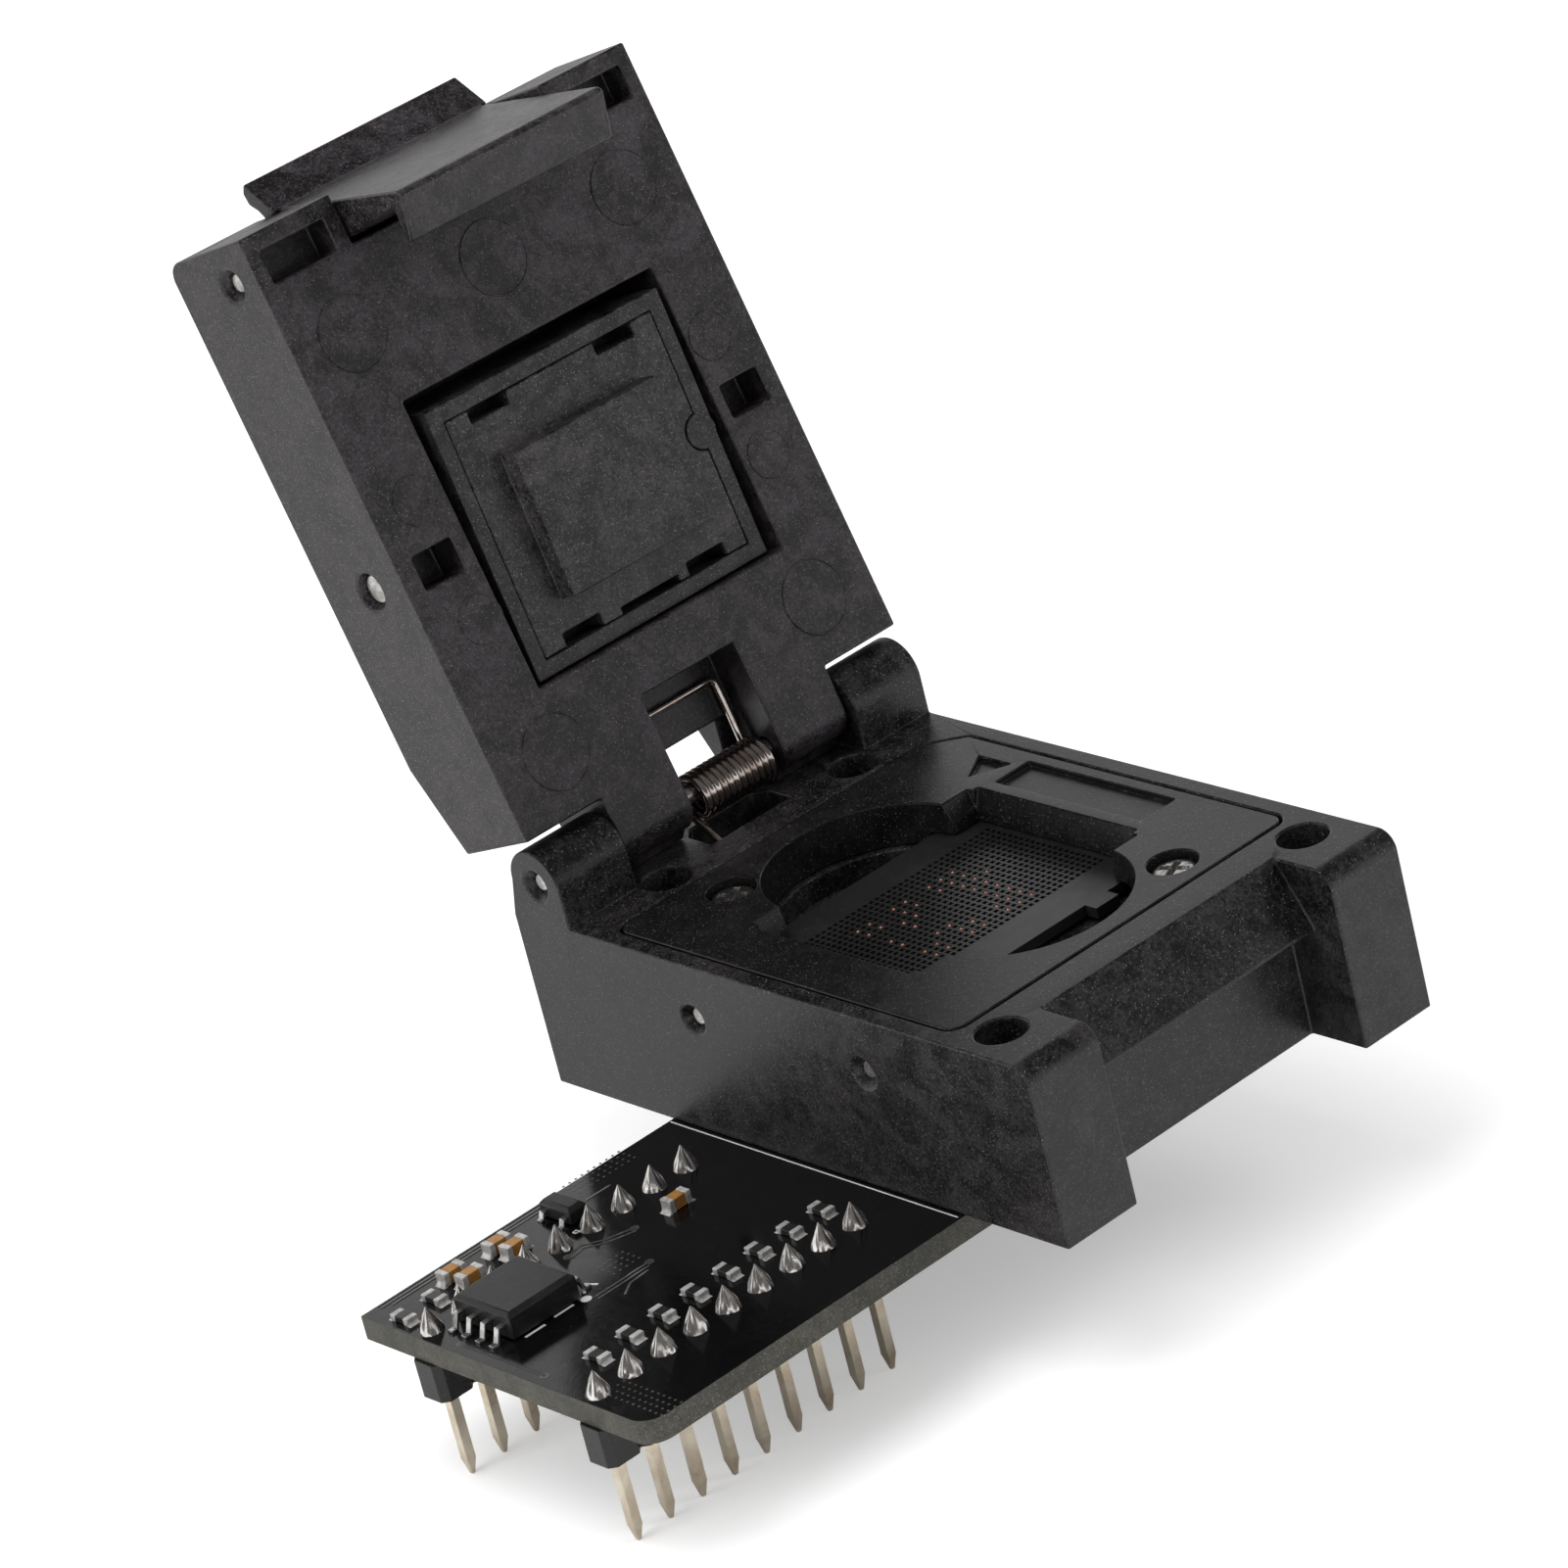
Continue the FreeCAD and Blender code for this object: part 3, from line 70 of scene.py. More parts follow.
class Seat(Enum):
    """The frame in which a piece's sizes are given, in millimetres."""

    BOARD = "board"
    BASE = "base"
    LID = "lid"

    def matrix(self) -> Matrix:
        """Return the matrix from this seat's millimetres to the scene's metres."""
        place = Matrix.Identity(4)
        if self is Seat.BASE:
            place = Matrix.Translation(BASE_CORNER)
        if self is Seat.LID:
            place = Matrix.Translation(HINGE_LINE) @ Matrix.Rotation(-OPEN_ANGLE, 4, "X")
        return Matrix.Diagonal((MM, MM, MM, 1.0)) @ place


# Node trees


class Tree:
    """A node tree under construction."""

    def __init__(self, tree: bpy.types.NodeTree) -> None:
        """Take the tree that gets the nodes."""
        self.tree = tree

    def add(self, kind: str, links: dict[object, object] | None = None, **settings: object) -> bpy.types.Node:
        """Add a node and feed its inputs.

        Args:
            kind: The node's type.
            links: Value or socket for each input, by name or number.
            settings: The node's own settings.

        Returns:
            The new node.
        """
        node = self.tree.nodes.new(kind)
        for label, value in settings.items():
            setattr(node, label, value)
        for label, value in (links or {}).items():
            self.feed(node.inputs[label], value)
        return node

    def feed(self, target: bpy.types.NodeSocket, value: object) -> None:
        """Link a socket to an input, or set the input to a plain value."""
        if isinstance(value, bpy.types.NodeSocket):
            self.tree.links.new(value, target)
        else:
            target.default_value = value

    def compute(self, operation: str, *values: object) -> bpy.types.NodeSocket:
        """Return the result of a Math node."""
        return self.add("ShaderNodeMath", dict(enumerate(values)), operation=operation).outputs[0]

    def span(self, value: bpy.types.NodeSocket, start: float, end: float, first: object = 0.0,
             last: object = 1.0) -> bpy.types.NodeSocket:
        """Map a value from one range to another.

        Args:
            value: The socket with the value.
            start: Where the value's range starts.
            end: Where the value's range ends.
            first: The result at the start.
            last: The result at the end.

        Returns:
            The socket with the result.
        """
        return self.add("ShaderNodeMapRange", {"Value": value, "From Min": start, "From Max": end,
                                               "To Min": first, "To Max": last}).outputs[0]

    def noise(self, vector: bpy.types.NodeSocket, scale: object, detail: float, roughness: float = 0.5,
              distortion: float = 0.0) -> bpy.types.NodeSocket:
        """Return the factor of a noise texture.

        Args:
            vector: The place on the piece.
            scale: How fine the noise is.
            detail: How many finer layers it has.
            roughness: How strong the finer layers are.
            distortion: How far the noise is smeared.

        Returns:
            The socket with the factor.
        """
        return self.add("ShaderNodeTexNoise", {
            "Vector": vector, "Scale": scale, "Detail": detail, "Roughness": roughness,
            "Distortion": distortion}).outputs["Fac"]

    def blend(self, share: bpy.types.NodeSocket, first: object, second: object) -> bpy.types.NodeSocket:
        """Return a mix of two colours, where the share tells how much of the second shows."""
        return self.add("ShaderNodeMix", {0: share, 6: first, 7: second}, data_type="RGBA").outputs[2]


class ShaderGroup(Tree):
    """A shader node group under construction, which puts out a colour, a roughness and a bump height."""

    outputs: dict[str, str] = {"Color": "NodeSocketColor", "Roughness": "NodeSocketFloat",
                               "Height": "NodeSocketFloat"}

    def __init__(self, name: str, colours: dict[str, Point], numbers: dict[str, float]) -> None:
        """Make an empty group.

        Args:
            name: The group's name.
            colours: Default value of each colour that goes in.
            numbers: Default value of each number that goes in.
        """
        super().__init__(bpy.data.node_groups.new(name, "ShaderNodeTree"))
        face = self.tree.interface
        face.new_socket("Vector", in_out="INPUT", socket_type="NodeSocketVector")
        for kind, values in (("NodeSocketColor", colours), ("NodeSocketFloat", numbers)):
            for label, value in values.items():
                face.new_socket(label, in_out="INPUT", socket_type=kind).default_value = value
        for label, kind in self.outputs.items():
            face.new_socket(label, in_out="OUTPUT", socket_type=kind)
        self.source = self.tree.nodes.new("NodeGroupInput").outputs

    def close(self, *results: bpy.types.NodeSocket) -> bpy.types.NodeTree:
        """Send the colour, the roughness and the height out, and return the group."""
        self.add("NodeGroupOutput", dict(zip(self.outputs, results)))
        return self.tree


@cache
def moulded_grain_group() -> bpy.types.NodeTree:
    """Build the glass-filled plastic's grain: flecks, flow smears and a fine rough skin."""
    group = ShaderGroup(
        "moulded_grain",
        {"Dark": (0.02, 0.02, 0.02, 1), "Light": (0.05, 0.05, 0.05, 1), "Fleck": (0.2, 0.2, 0.2, 1)},
        {"Fleck Share": 0.06, "Rough Low": 0.4, "Rough High": 0.6})
    cloud_weight, skin_weight, darkest, lightest = 1.1, 1.5, 1.6, 2.34
    fleck_reach, smear_height = 0.3, 1.4
    source = group.source
    smear = group.noise(source["Vector"], 850.0, 6.0, 0.66, 2.2)
    cloud = group.noise(source["Vector"], 260.0, 4.0, distortion=1.6)
    skin = group.noise(source["Vector"], 5200.0, 3.0, 0.75)
    mixed = group.compute("MULTIPLY_ADD", cloud, cloud_weight, smear)
    grain = group.compute("MULTIPLY_ADD", skin, skin_weight, mixed)
    tone = group.span(grain, darkest, lightest)
    body = group.blend(tone, source["Dark"], source["Light"])
    cells = group.add("ShaderNodeTexVoronoi", {"Vector": source["Vector"], "Scale": 8500.0})
    chance = group.add("ShaderNodeSeparateColor", {"Color": cells.outputs["Color"]})
    near = group.compute("LESS_THAN", cells.outputs["Distance"], fleck_reach)
    chosen = group.compute("LESS_THAN", chance.outputs[0], source["Fleck Share"])
    strength = group.compute("MULTIPLY", group.compute("MULTIPLY", near, chosen), chance.outputs[1])
    height = group.compute("ADD", group.compute("MULTIPLY", smear, smear_height), skin)
    return group.close(group.blend(strength, body, source["Fleck"]),
                       group.span(tone, 0.0, 1.0, source["Rough Low"], source["Rough High"]), height)


@cache
def drawn_metal_group() -> bpy.types.NodeTree:
    """Build the metals' surface: tarnish in patches and the lines of drawing."""
    group = ShaderGroup("drawn_metal", {"Bright": (0.8, 0.8, 0.8, 1), "Dull": (0.4, 0.4, 0.4, 1)},
                        {"Patch Scale": 900.0, "Rough Low": 0.15, "Rough High": 0.35})
    source = group.source
    patch = group.noise(source["Vector"], source["Patch Scale"], 4.0, distortion=0.6)
    tint = group.blend(group.span(patch, 0.38, 0.66), source["Bright"], source["Dull"])
    rough = group.span(patch, 0.3, 0.7, source["Rough Low"], source["Rough High"])
    return group.close(tint, rough, group.noise(source["Vector"], 7000.0, 2.0))


# Finishes


@dataclass(frozen=True)
class Finish:
    """A finish whose colour, roughness and bump come from one shader group."""

    name: str
    values: tuple[tuple[str, object], ...]
    group: Callable[[], bpy.types.NodeTree]
    metallic: float
    bump: float
    bump_depth: float = 0.00003

    @cache
    def material(self) -> bpy.types.Material:
        """Return this finish's material, made on its first use."""
        material = bpy.data.materials.new(self.name)
        material.use_nodes = True
        tree = Tree(material.node_tree)
        place = tree.add("ShaderNodeTexCoord")
        group = tree.add("ShaderNodeGroup", {"Vector": place.outputs["Object"], **dict(self.values)},
                         node_tree=self.group())
        bump = tree.add("ShaderNodeBump", {"Strength": self.bump, "Distance": self.bump_depth,
                                           "Height": group.outputs["Height"]})
        shader = material.node_tree.nodes["Principled BSDF"]
        for label, value in (("Base Color", group.outputs["Color"]), ("Metallic", self.metallic),
                             ("Roughness", group.outputs["Roughness"]), ("Normal", bump.outputs["Normal"])):
            tree.feed(shader.inputs[label], value)
        return material


def plastic(name: str, dark: Point, light: Point, fleck: float, share: float, rough: tuple[float, float],
            bump: float = 0.25) -> Finish:
    """Describe a moulded plastic.

    Args:
        name: The finish's name.
        dark: Its darkest body colour.
        light: Its lightest body colour.
        fleck: Grey level of the glass flecks.
        share: Share of the grain's cells that hold a fleck.
        rough: Lowest and highest roughness.
        bump: Strength of the skin's bump.

    Returns:
        The finish.
    """
    values = (("Dark", (*dark, 1)), ("Light", (*light, 1)), ("Fleck", (fleck, fleck, fleck, 1)),
              ("Fleck Share", share), ("Rough Low", rough[0]), ("Rough High", rough[1]))
    return Finish(name, values, moulded_grain_group, 0.0, bump)


def metal(name: str, bright: Point, dull: Point, patch: float, rough: tuple[float, float],
          bump: float = 0.1, metallic: float = 1.0) -> Finish:
    """Describe a metal.

    Args:
        name: The finish's name.
        bright: Its clean colour.
        dull: Its tarnished colour.
        patch: Scale of the tarnish patches.
        rough: Lowest and highest roughness.
        bump: Strength of the drawing lines.
        metallic: How metallic it is, less where a dull skin scatters light.

    Returns:
        The finish.
    """
    values = (("Bright", (*bright, 1)), ("Dull", (*dull, 1)), ("Patch Scale", patch), ("Rough Low", rough[0]),
              ("Rough High", rough[1]))
    return Finish(name, values, drawn_metal_group, metallic, bump)


BODY_PLASTIC = plastic("body_plastic", (0.004, 0.0036, 0.0038), (0.044, 0.04, 0.0425), 0.2, 0.2, (0.3, 0.55),
                       0.4)
LID_PLASTIC = plastic("lid_plastic", (0.0065, 0.0056, 0.0062), (0.062, 0.053, 0.06), 0.18, 0.25, (0.3, 0.55),
                      0.4)
GUIDE_PLASTIC = plastic("guide_plastic", (0.0048, 0.0044, 0.0046), (0.0175, 0.0163, 0.0168), 0.15, 0.2,
                        (0.31, 0.4), 0.3)
PAD_PLASTIC = plastic("pad_plastic", (0.005, 0.0046, 0.0048), (0.078, 0.071, 0.074), 0.25, 0.3, (0.3, 0.6),
                      0.5)
FRAME_PLASTIC = plastic("frame_plastic", (0.0036, 0.0033, 0.0034), (0.058, 0.053, 0.055), 0.22, 0.3,
                        (0.3, 0.6), 0.5)
PLATE_PLASTIC = plastic("contact_plate_plastic", (0.013, 0.0124, 0.013), (0.023, 0.0215, 0.0222), 0.12, 0.03,
                        (0.3, 0.42), 0.1)
STRIP_PLASTIC = plastic("header_plastic", (0.006, 0.006, 0.006), (0.013, 0.0125, 0.0125), 0.08, 0.02,
                        (0.25, 0.4))
PACKAGE_PLASTIC = plastic("package_plastic", (0.010, 0.010, 0.010), (0.02, 0.02, 0.02), 0.1, 0.04,
                          (0.35, 0.5))
MASK = plastic("board_mask", (0.0022, 0.0022, 0.0025), (0.0045, 0.0045, 0.005), 0.05, 0.012, (0.1, 0.2), 0.05)
TRACE_MASK = plastic("trace_mask", (0.04, 0.04, 0.037), (0.1, 0.1, 0.092), 0.2, 0.02, (0.14, 0.24), 0.05)
LAMINATE = plastic("board_laminate", (0.035, 0.034, 0.026), (0.13, 0.125, 0.1), 0.3, 0.2, (0.5, 0.75), 0.6)
SCREEN_INK = plastic("screen_ink", (0.62, 0.62, 0.6), (0.8, 0.8, 0.78), 0.8, 0.05, (0.5, 0.65), 0.2)
CERAMIC = plastic("capacitor_ceramic", (0.3, 0.14, 0.035), (0.5, 0.26, 0.08), 0.5, 0.05, (0.3, 0.45), 0.2)
RESISTOR_COAT = plastic("resistor_coat", (0.012, 0.012, 0.012), (0.024, 0.024, 0.023), 0.08, 0.02, (0.2, 0.3),
                        0.1)
PIN_GOLD = metal("pin_gold", (0.88, 0.79, 0.64), (0.66, 0.55, 0.41), 500.0, (0.16, 0.3))
TIP_COPPER = metal("tip_copper", (0.86, 0.4, 0.26), (0.6, 0.25, 0.16), 4000.0, (0.3, 0.45), 0.1, 0.6)
PIN_STEEL = metal("pin_steel", (0.72, 0.7, 0.68), (0.42, 0.4, 0.38), 1500.0, (0.22, 0.42), 0.3)
SCREW_STEEL = metal("screw_steel", (0.72, 0.7, 0.67), (0.4, 0.38, 0.36), 1800.0, (0.2, 0.4), 0.25)
SPRING_STEEL = metal("spring_steel", (0.66, 0.6, 0.56), (0.4, 0.33, 0.29), 900.0, (0.12, 0.22), 0.05)
SOLDER = metal("solder", (0.9, 0.87, 0.84), (0.62, 0.58, 0.55), 1100.0, (0.12, 0.28), 0.2)
CAP_METAL = metal("cap_metal", (0.68, 0.67, 0.65), (0.4, 0.39, 0.38), 2500.0, (0.3, 0.45), 0.3, 0.4)
TIN = metal("tinned_lead", (0.8, 0.79, 0.77), (0.55, 0.54, 0.53), 1500.0, (0.22, 0.4), 0.2)


# Meshes


def put(name: str, data: bpy.types.ID) -> bpy.types.Object:
    """Put a new object with the given data into the scene."""
    item = bpy.data.objects.new(name, data)
    bpy.context.scene.collection.objects.link(item)
    return item


def applied(piece: bpy.types.Object) -> bpy.types.Mesh:
    """Return the mesh that a piece's modifiers make, and take them off."""
    bpy.context.view_layer.update()
    graph = bpy.context.evaluated_depsgraph_get()
    mesh = bpy.data.meshes.new_from_object(piece.evaluated_get(graph))
    piece.modifiers.clear()
    return mesh


def mesh_from(name: str, points: Iterable[Point], edges: Iterable[tuple[int, int]] = (),
              faces: Iterable[Sequence[int]] = ()) -> bpy.types.Mesh:
    """Make a mesh from plain lists."""
    mesh = bpy.data.meshes.new(name)
    mesh.from_pydata([tuple(p) for p in points], list(edges), [tuple(f) for f in faces])
    mesh.update()
    return mesh


def polylines(name: str, lines: Iterable[Sequence[Point]]) -> bpy.types.Mesh:
    """Make a mesh of edges along each line of points."""
    points: list[Point] = []
    edges: list[tuple[int, int]] = []
    for line in lines:
        start = len(points)
        points.extend(line)
        edges.extend((start + k, start + k + 1) for k in range(len(line) - 1))
    return mesh_from(name, points, edges)


def points_mesh(name: str, points: Iterable[Point], sizes: Iterable[float] | None = None) -> bpy.types.Mesh:
    """Make a mesh of loose points with a size for each."""
    mesh = mesh_from(name, points)
    attribute = mesh.attributes.new("size", "FLOAT", "POINT")
    attribute.data.foreach_set("value", list(sizes) if sizes else [1.0] * len(mesh.vertices))
    return mesh


def smooth(mesh: bpy.types.Mesh, sharp_from: float) -> bpy.types.Mesh:
    """Shade a mesh smooth, save for edges sharper than an angle in degrees, and return it."""
    mesh.shade_smooth()
    mesh.set_sharp_from_angle(angle=math.radians(sharp_from))
    return mesh


def outward(mesh: bpy.types.Mesh, merge: float = 0.0) -> bpy.types.Mesh:
    """Turn a mesh's faces outwards, once points closer than a distance are merged, and return it."""
    shape = bmesh.new()
    shape.from_mesh(mesh)
    if merge:
        bmesh.ops.remove_doubles(shape, verts=shape.verts, dist=merge)
    bmesh.ops.recalc_face_normals(shape, faces=shape.faces)
    shape.to_mesh(mesh)
    shape.free()
    return mesh


def circle(radius: float, level: float, sides: int,
           flute: Callable[[float, float], float] | None = None) -> list[Point]:
    """Return the points of a level circle about the Z axis.

    Args:
        radius: The circle's radius.
        level: Its height.
        sides: How many points it has.
        flute: A factor on the radius, by angle and height.

    Returns:
        The points.
    """
    points: list[Point] = []
    for side in range(sides):
        turn = 2 * math.pi * side / sides
        reach = radius * (flute(turn, level) if flute else 1.0)
        points.append((reach * math.cos(turn), reach * math.sin(turn), level))
    return points


def walls(rings: int, sides: int) -> list[Sequence[int]]:
    """Return the faces between rings of points that stand one on the other."""
    corners = [(ring * sides + side, ring * sides + (side + 1) % sides)
               for ring in range(rings - 1) for side in range(sides)]
    return [(a, b, b + sides, a + sides) for a, b in corners]


def turned(name: str, profile: Corners, sides: int,
           flute: Callable[[float, float], float] | None = None) -> bpy.types.Mesh:
    """Turn a profile about the Z axis into a closed mesh.

    Args:
        name: The mesh's name.
        profile: Radius and height of each ring, from the foot to the top.
        sides: Faces round the axis.
        flute: A factor on the radius, by angle and height.

    Returns:
        The closed mesh.
    """
    points = [point for radius, level in profile for point in circle(radius, level, sides, flute)]
    foot, top = range(sides), range((len(profile) - 1) * sides, len(profile) * sides)
    return smooth(mesh_from(name, points, (), [tuple(reversed(foot)), *walls(len(profile), sides), top]), 40)


def flatten(mesh: bpy.types.Mesh, angle: float) -> None:
    """Merge a mesh's level faces, and split them again where they are hollow.

    Args:
        mesh: The mesh, which is changed in place.
        angle: Faces that meet at less than this, in degrees, are merged.
    """
    merge, sliver = 2e-7, 1e-7
    shape = bmesh.new()
    shape.from_mesh(mesh)
    bmesh.ops.remove_doubles(shape, verts=shape.verts, dist=merge)
    bmesh.ops.dissolve_degenerate(shape, edges=shape.edges, dist=sliver)
    bmesh.ops.dissolve_limit(shape, angle_limit=math.radians(angle), verts=shape.verts, edges=shape.edges)
    bmesh.ops.connect_verts_concave(shape, faces=shape.faces)
    shape.to_mesh(mesh)
    shape.free()


# Geometry Nodes


class NodeRecipe(Tree):
    """A Geometry Nodes tree with named inputs, run on a mesh and turned into a plain mesh."""

    kinds: dict[type, str] = {float: "NodeSocketFloat", int: "NodeSocketInt", tuple: "NodeSocketVector",
                              bpy.types.Object: "NodeSocketObject", bpy.types.Material: "NodeSocketMaterial"}

    def __init__(self, name: str, **inputs: object) -> None:
        """Start a tree.

        Args:
            name: The tree's name.
            inputs: Default value of each named input, or its type where it has none, with underscores for
                spaces. The geometry and the material are added.
        """
        super().__init__(bpy.data.node_groups.new(name, "GeometryNodeTree"))
        face = self.tree.interface
        face.new_socket("Geometry", in_out="INPUT", socket_type="NodeSocketGeometry")
        self.keys: dict[str, str] = {}
        for label, value in (inputs | {"Material": bpy.types.Material}).items():
            bare = isinstance(value, type)
            socket = face.new_socket(label.replace("_", " "), in_out="INPUT",
                                     socket_type=self.kinds[value if bare else type(value)])
            if not bare:
                socket.default_value = value
            self.keys[label] = socket.identifier
        face.new_socket("Geometry", in_out="OUTPUT", socket_type="NodeSocketGeometry")
        self.source = self.tree.nodes.new("NodeGroupInput").outputs

    def close(self, geometry: bpy.types.NodeSocket) -> NodeRecipe:
        """End the tree in Realize Instances and Set Material, and return the recipe."""
        real = self.add("GeometryNodeRealizeInstances", {"Geometry": geometry})
        dressed = self.add("GeometryNodeSetMaterial", {"Geometry": real.outputs[0],
                                                       "Material": self.source["Material"]})
        self.add("NodeGroupOutput", {0: dressed.outputs[0]})
        return self

    def tube(self, path: bpy.types.NodeSocket, sides: object) -> bpy.types.NodeSocket:
        """Draw wire, as thick as the input Wire says, along a path."""
        half = self.compute("MULTIPLY", self.source["Wire"], 0.5)
        ring = self.add("GeometryNodeCurvePrimitiveCircle", {"Resolution": sides, "Radius": half})
        wire = self.add("GeometryNodeCurveToMesh", {"Curve": path, "Profile Curve": ring.outputs[0],
                                                    "Fill Caps": True})
        return self.add("GeometryNodeSetShadeSmooth", {"Geometry": wire.outputs[0]}).outputs[0]

    def spread(self, **links: object) -> bpy.types.NodeSocket:
        """Put an instance on each point of the input, with the node's other inputs as given."""
        points = self.source["Geometry"]
        return self.add("GeometryNodeInstanceOnPoints", {"Points": points, **links}).outputs[0]

    def run(self, name: str, mesh: bpy.types.Mesh, finish: Finish, seat: Seat,
            **values: object) -> bpy.types.Object:
        """Run the tree on a mesh.

        Args:
            name: The finished piece's name.
            mesh: The points or edges that the tree starts from, in the seat's millimetres.
            finish: What the piece is finished in.
            seat: The frame of the mesh.
            values: Values of the named inputs, with underscores for spaces.

        Returns:
            The finished object, with its place in its mesh.
        """
        carrier = put(name, mesh)
        modifier = carrier.modifiers.new("recipe", "NODES")
        modifier.node_group = self.tree
        for label, value in (values | {"Material": finish.material()}).items():
            modifier[self.keys[label]] = value
        carrier.data = applied(carrier)
        carrier.data.transform(seat.matrix())
        return carrier


@cache
def wire_recipe() -> NodeRecipe:
    """Build the tree that draws round wire along a path."""
    recipe = NodeRecipe("round_wire", Wire=0.5, Sides=16)
    path = recipe.add("GeometryNodeMeshToCurve", {"Mesh": recipe.source["Geometry"]})
    return recipe.close(recipe.tube(path.outputs[0], recipe.source["Sides"]))


@cache
def track_recipe() -> NodeRecipe:
    """Build the tree that lays a flat track along a path on the board."""
    recipe = NodeRecipe("flat_track", Width=0.2, Height=0.03)
    path = recipe.add("GeometryNodeMeshToCurve", {"Mesh": recipe.source["Geometry"]})
    section = recipe.add("GeometryNodeCurvePrimitiveQuadrilateral", {
        "Width": recipe.source["Width"], "Height": recipe.source["Height"]})
    upright = recipe.add("GeometryNodeSetCurveNormal", {"Curve": path.outputs[0]}, mode="Z_UP")
    ribbon = recipe.add("GeometryNodeCurveToMesh", {"Curve": upright.outputs[0],
                                                    "Profile Curve": section.outputs[0], "Fill Caps": True})
    return recipe.close(ribbon.outputs[0])


@cache
def coil_recipe() -> NodeRecipe:
    """Build the tree that stands a compression spring on each point."""
    recipe = NodeRecipe("compression_spring", Wire=0.2, Radius=0.6, Height=2.0, Turns=4.0)
    radius = recipe.source["Radius"]
    spiral = recipe.add("GeometryNodeCurveSpiral", {
        "Resolution": 20, "Rotations": recipe.source["Turns"], "Start Radius": radius, "End Radius": radius,
        "Height": recipe.source["Height"]})
    return recipe.close(recipe.spread(Instance=recipe.tube(spiral.outputs[0], 8)))


@cache
def stand_recipe() -> NodeRecipe:
    """Build the tree that stands a copy of a template on each point, turned and scaled."""
    recipe = NodeRecipe("stand_on_points", Template=bpy.types.Object, Turn_Spread=0.0, Seed=7)
    template = recipe.add("GeometryNodeObjectInfo", {"Object": recipe.source["Template"]})
    size = recipe.add("GeometryNodeInputNamedAttribute", {"Name": "size"}, data_type="FLOAT")
    any_turn = recipe.add("FunctionNodeRandomValue", {2: 0.0, 3: recipe.source["Turn Spread"],
                                                      "Seed": recipe.source["Seed"]}, data_type="FLOAT")
    turn = recipe.add("ShaderNodeCombineXYZ", {2: any_turn.outputs[1]})
    return recipe.close(recipe.spread(Instance=template.outputs["Geometry"], Rotation=turn.outputs[0],
                                      Scale=size.outputs[0]))


@cache
def well_recipe() -> NodeRecipe:
    """Build the tree that presses a square well into each cell of a plate's top."""
    recipe = NodeRecipe("well_field", Length=17.0, Width=10.5, Thickness=0.7, Columns=34, Rows=21,
                        Opening=0.7, Depth=0.4)
    source = recipe.source
    size = recipe.add("ShaderNodeCombineXYZ", {0: source["Length"], 1: source["Width"],
                                               2: source["Thickness"]})
    slab = recipe.add("GeometryNodeMeshCube", {
        "Size": size.outputs[0], "Vertices X": recipe.compute("ADD", source["Columns"], 1.0),
        "Vertices Y": recipe.compute("ADD", source["Rows"], 1.0), "Vertices Z": 2})
    parts = recipe.add("ShaderNodeSeparateXYZ", {0: recipe.add("GeometryNodeInputNormal").outputs[0]})
    upper = recipe.compute("GREATER_THAN", parts.outputs[2], 0.5)
    inset = recipe.add("GeometryNodeExtrudeMesh", {"Mesh": slab.outputs["Mesh"], "Selection": upper,
                                                   "Offset Scale": 0.0, "Individual": True})
    small = recipe.add("GeometryNodeScaleElements", {
        "Geometry": inset.outputs["Mesh"], "Selection": inset.outputs["Top"], "Scale": source["Opening"]})
    wells = recipe.add("GeometryNodeExtrudeMesh", {
        "Mesh": small.outputs[0], "Selection": inset.outputs["Top"],
        "Offset Scale": recipe.compute("MULTIPLY", source["Depth"], -1.0), "Individual": True})
    return recipe.close(recipe.spread(Instance=wells.outputs["Mesh"]))


# Pieces


class Socket:
    """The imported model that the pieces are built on."""

    nodes: dict[str, bpy.types.Object] = {}

    @classmethod
    def load(cls) -> None:
        """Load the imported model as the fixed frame."""
        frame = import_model()
        cls.nodes = frame["nodes"]

    @classmethod
    def coat(cls, finish: Finish, *names: str) -> None:
        """Finish nodes that keep their own shape."""
        for name in names:
            mesh = cls.nodes[name].data
            mesh.materials.clear()
            mesh.materials.append(finish.material())
            LOG.info("%s keeps its shape", name)


def settle(piece: bpy.types.Object, body: str, slot: str, *nodes: str) -> None:
    """Let a piece ride on its body and stand for its nodes.

    Args:
        piece: The finished object.
        body: The body that carries it.
        slot: The record's material slot; not used.
        nodes: The nodes that it stands for.
    """
    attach(piece, body)
    if nodes:
        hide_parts(*nodes)
    LOG.info("%s rides on %s, %d faces", piece.name, body, len(piece.data.polygons))


def stand(name: str, template: bpy.types.Mesh, points: Sequence[Point], finish: Finish, seat: Seat,
          sizes: Iterable[float] | None = None, **values: object) -> bpy.types.Object:
    """Stand a copy of a template mesh on each point.

    Args:
        name: The piece's name.
        template: The mesh that is repeated, in millimetres.
        points: Where its copies stand.
        finish: What the piece is finished in.
        seat: The frame of the points.
        sizes: Scale of each copy.
        values: Spread of the turns and seed of the tree.

    Returns:
        One object with all the copies.
    """
    sample = put(f"{name}_sample", template)
    piece = stand_recipe().run(name, points_mesh(name, points, sizes), finish, seat, Template=sample,
                               **values)
    bpy.data.objects.remove(sample)
    return piece


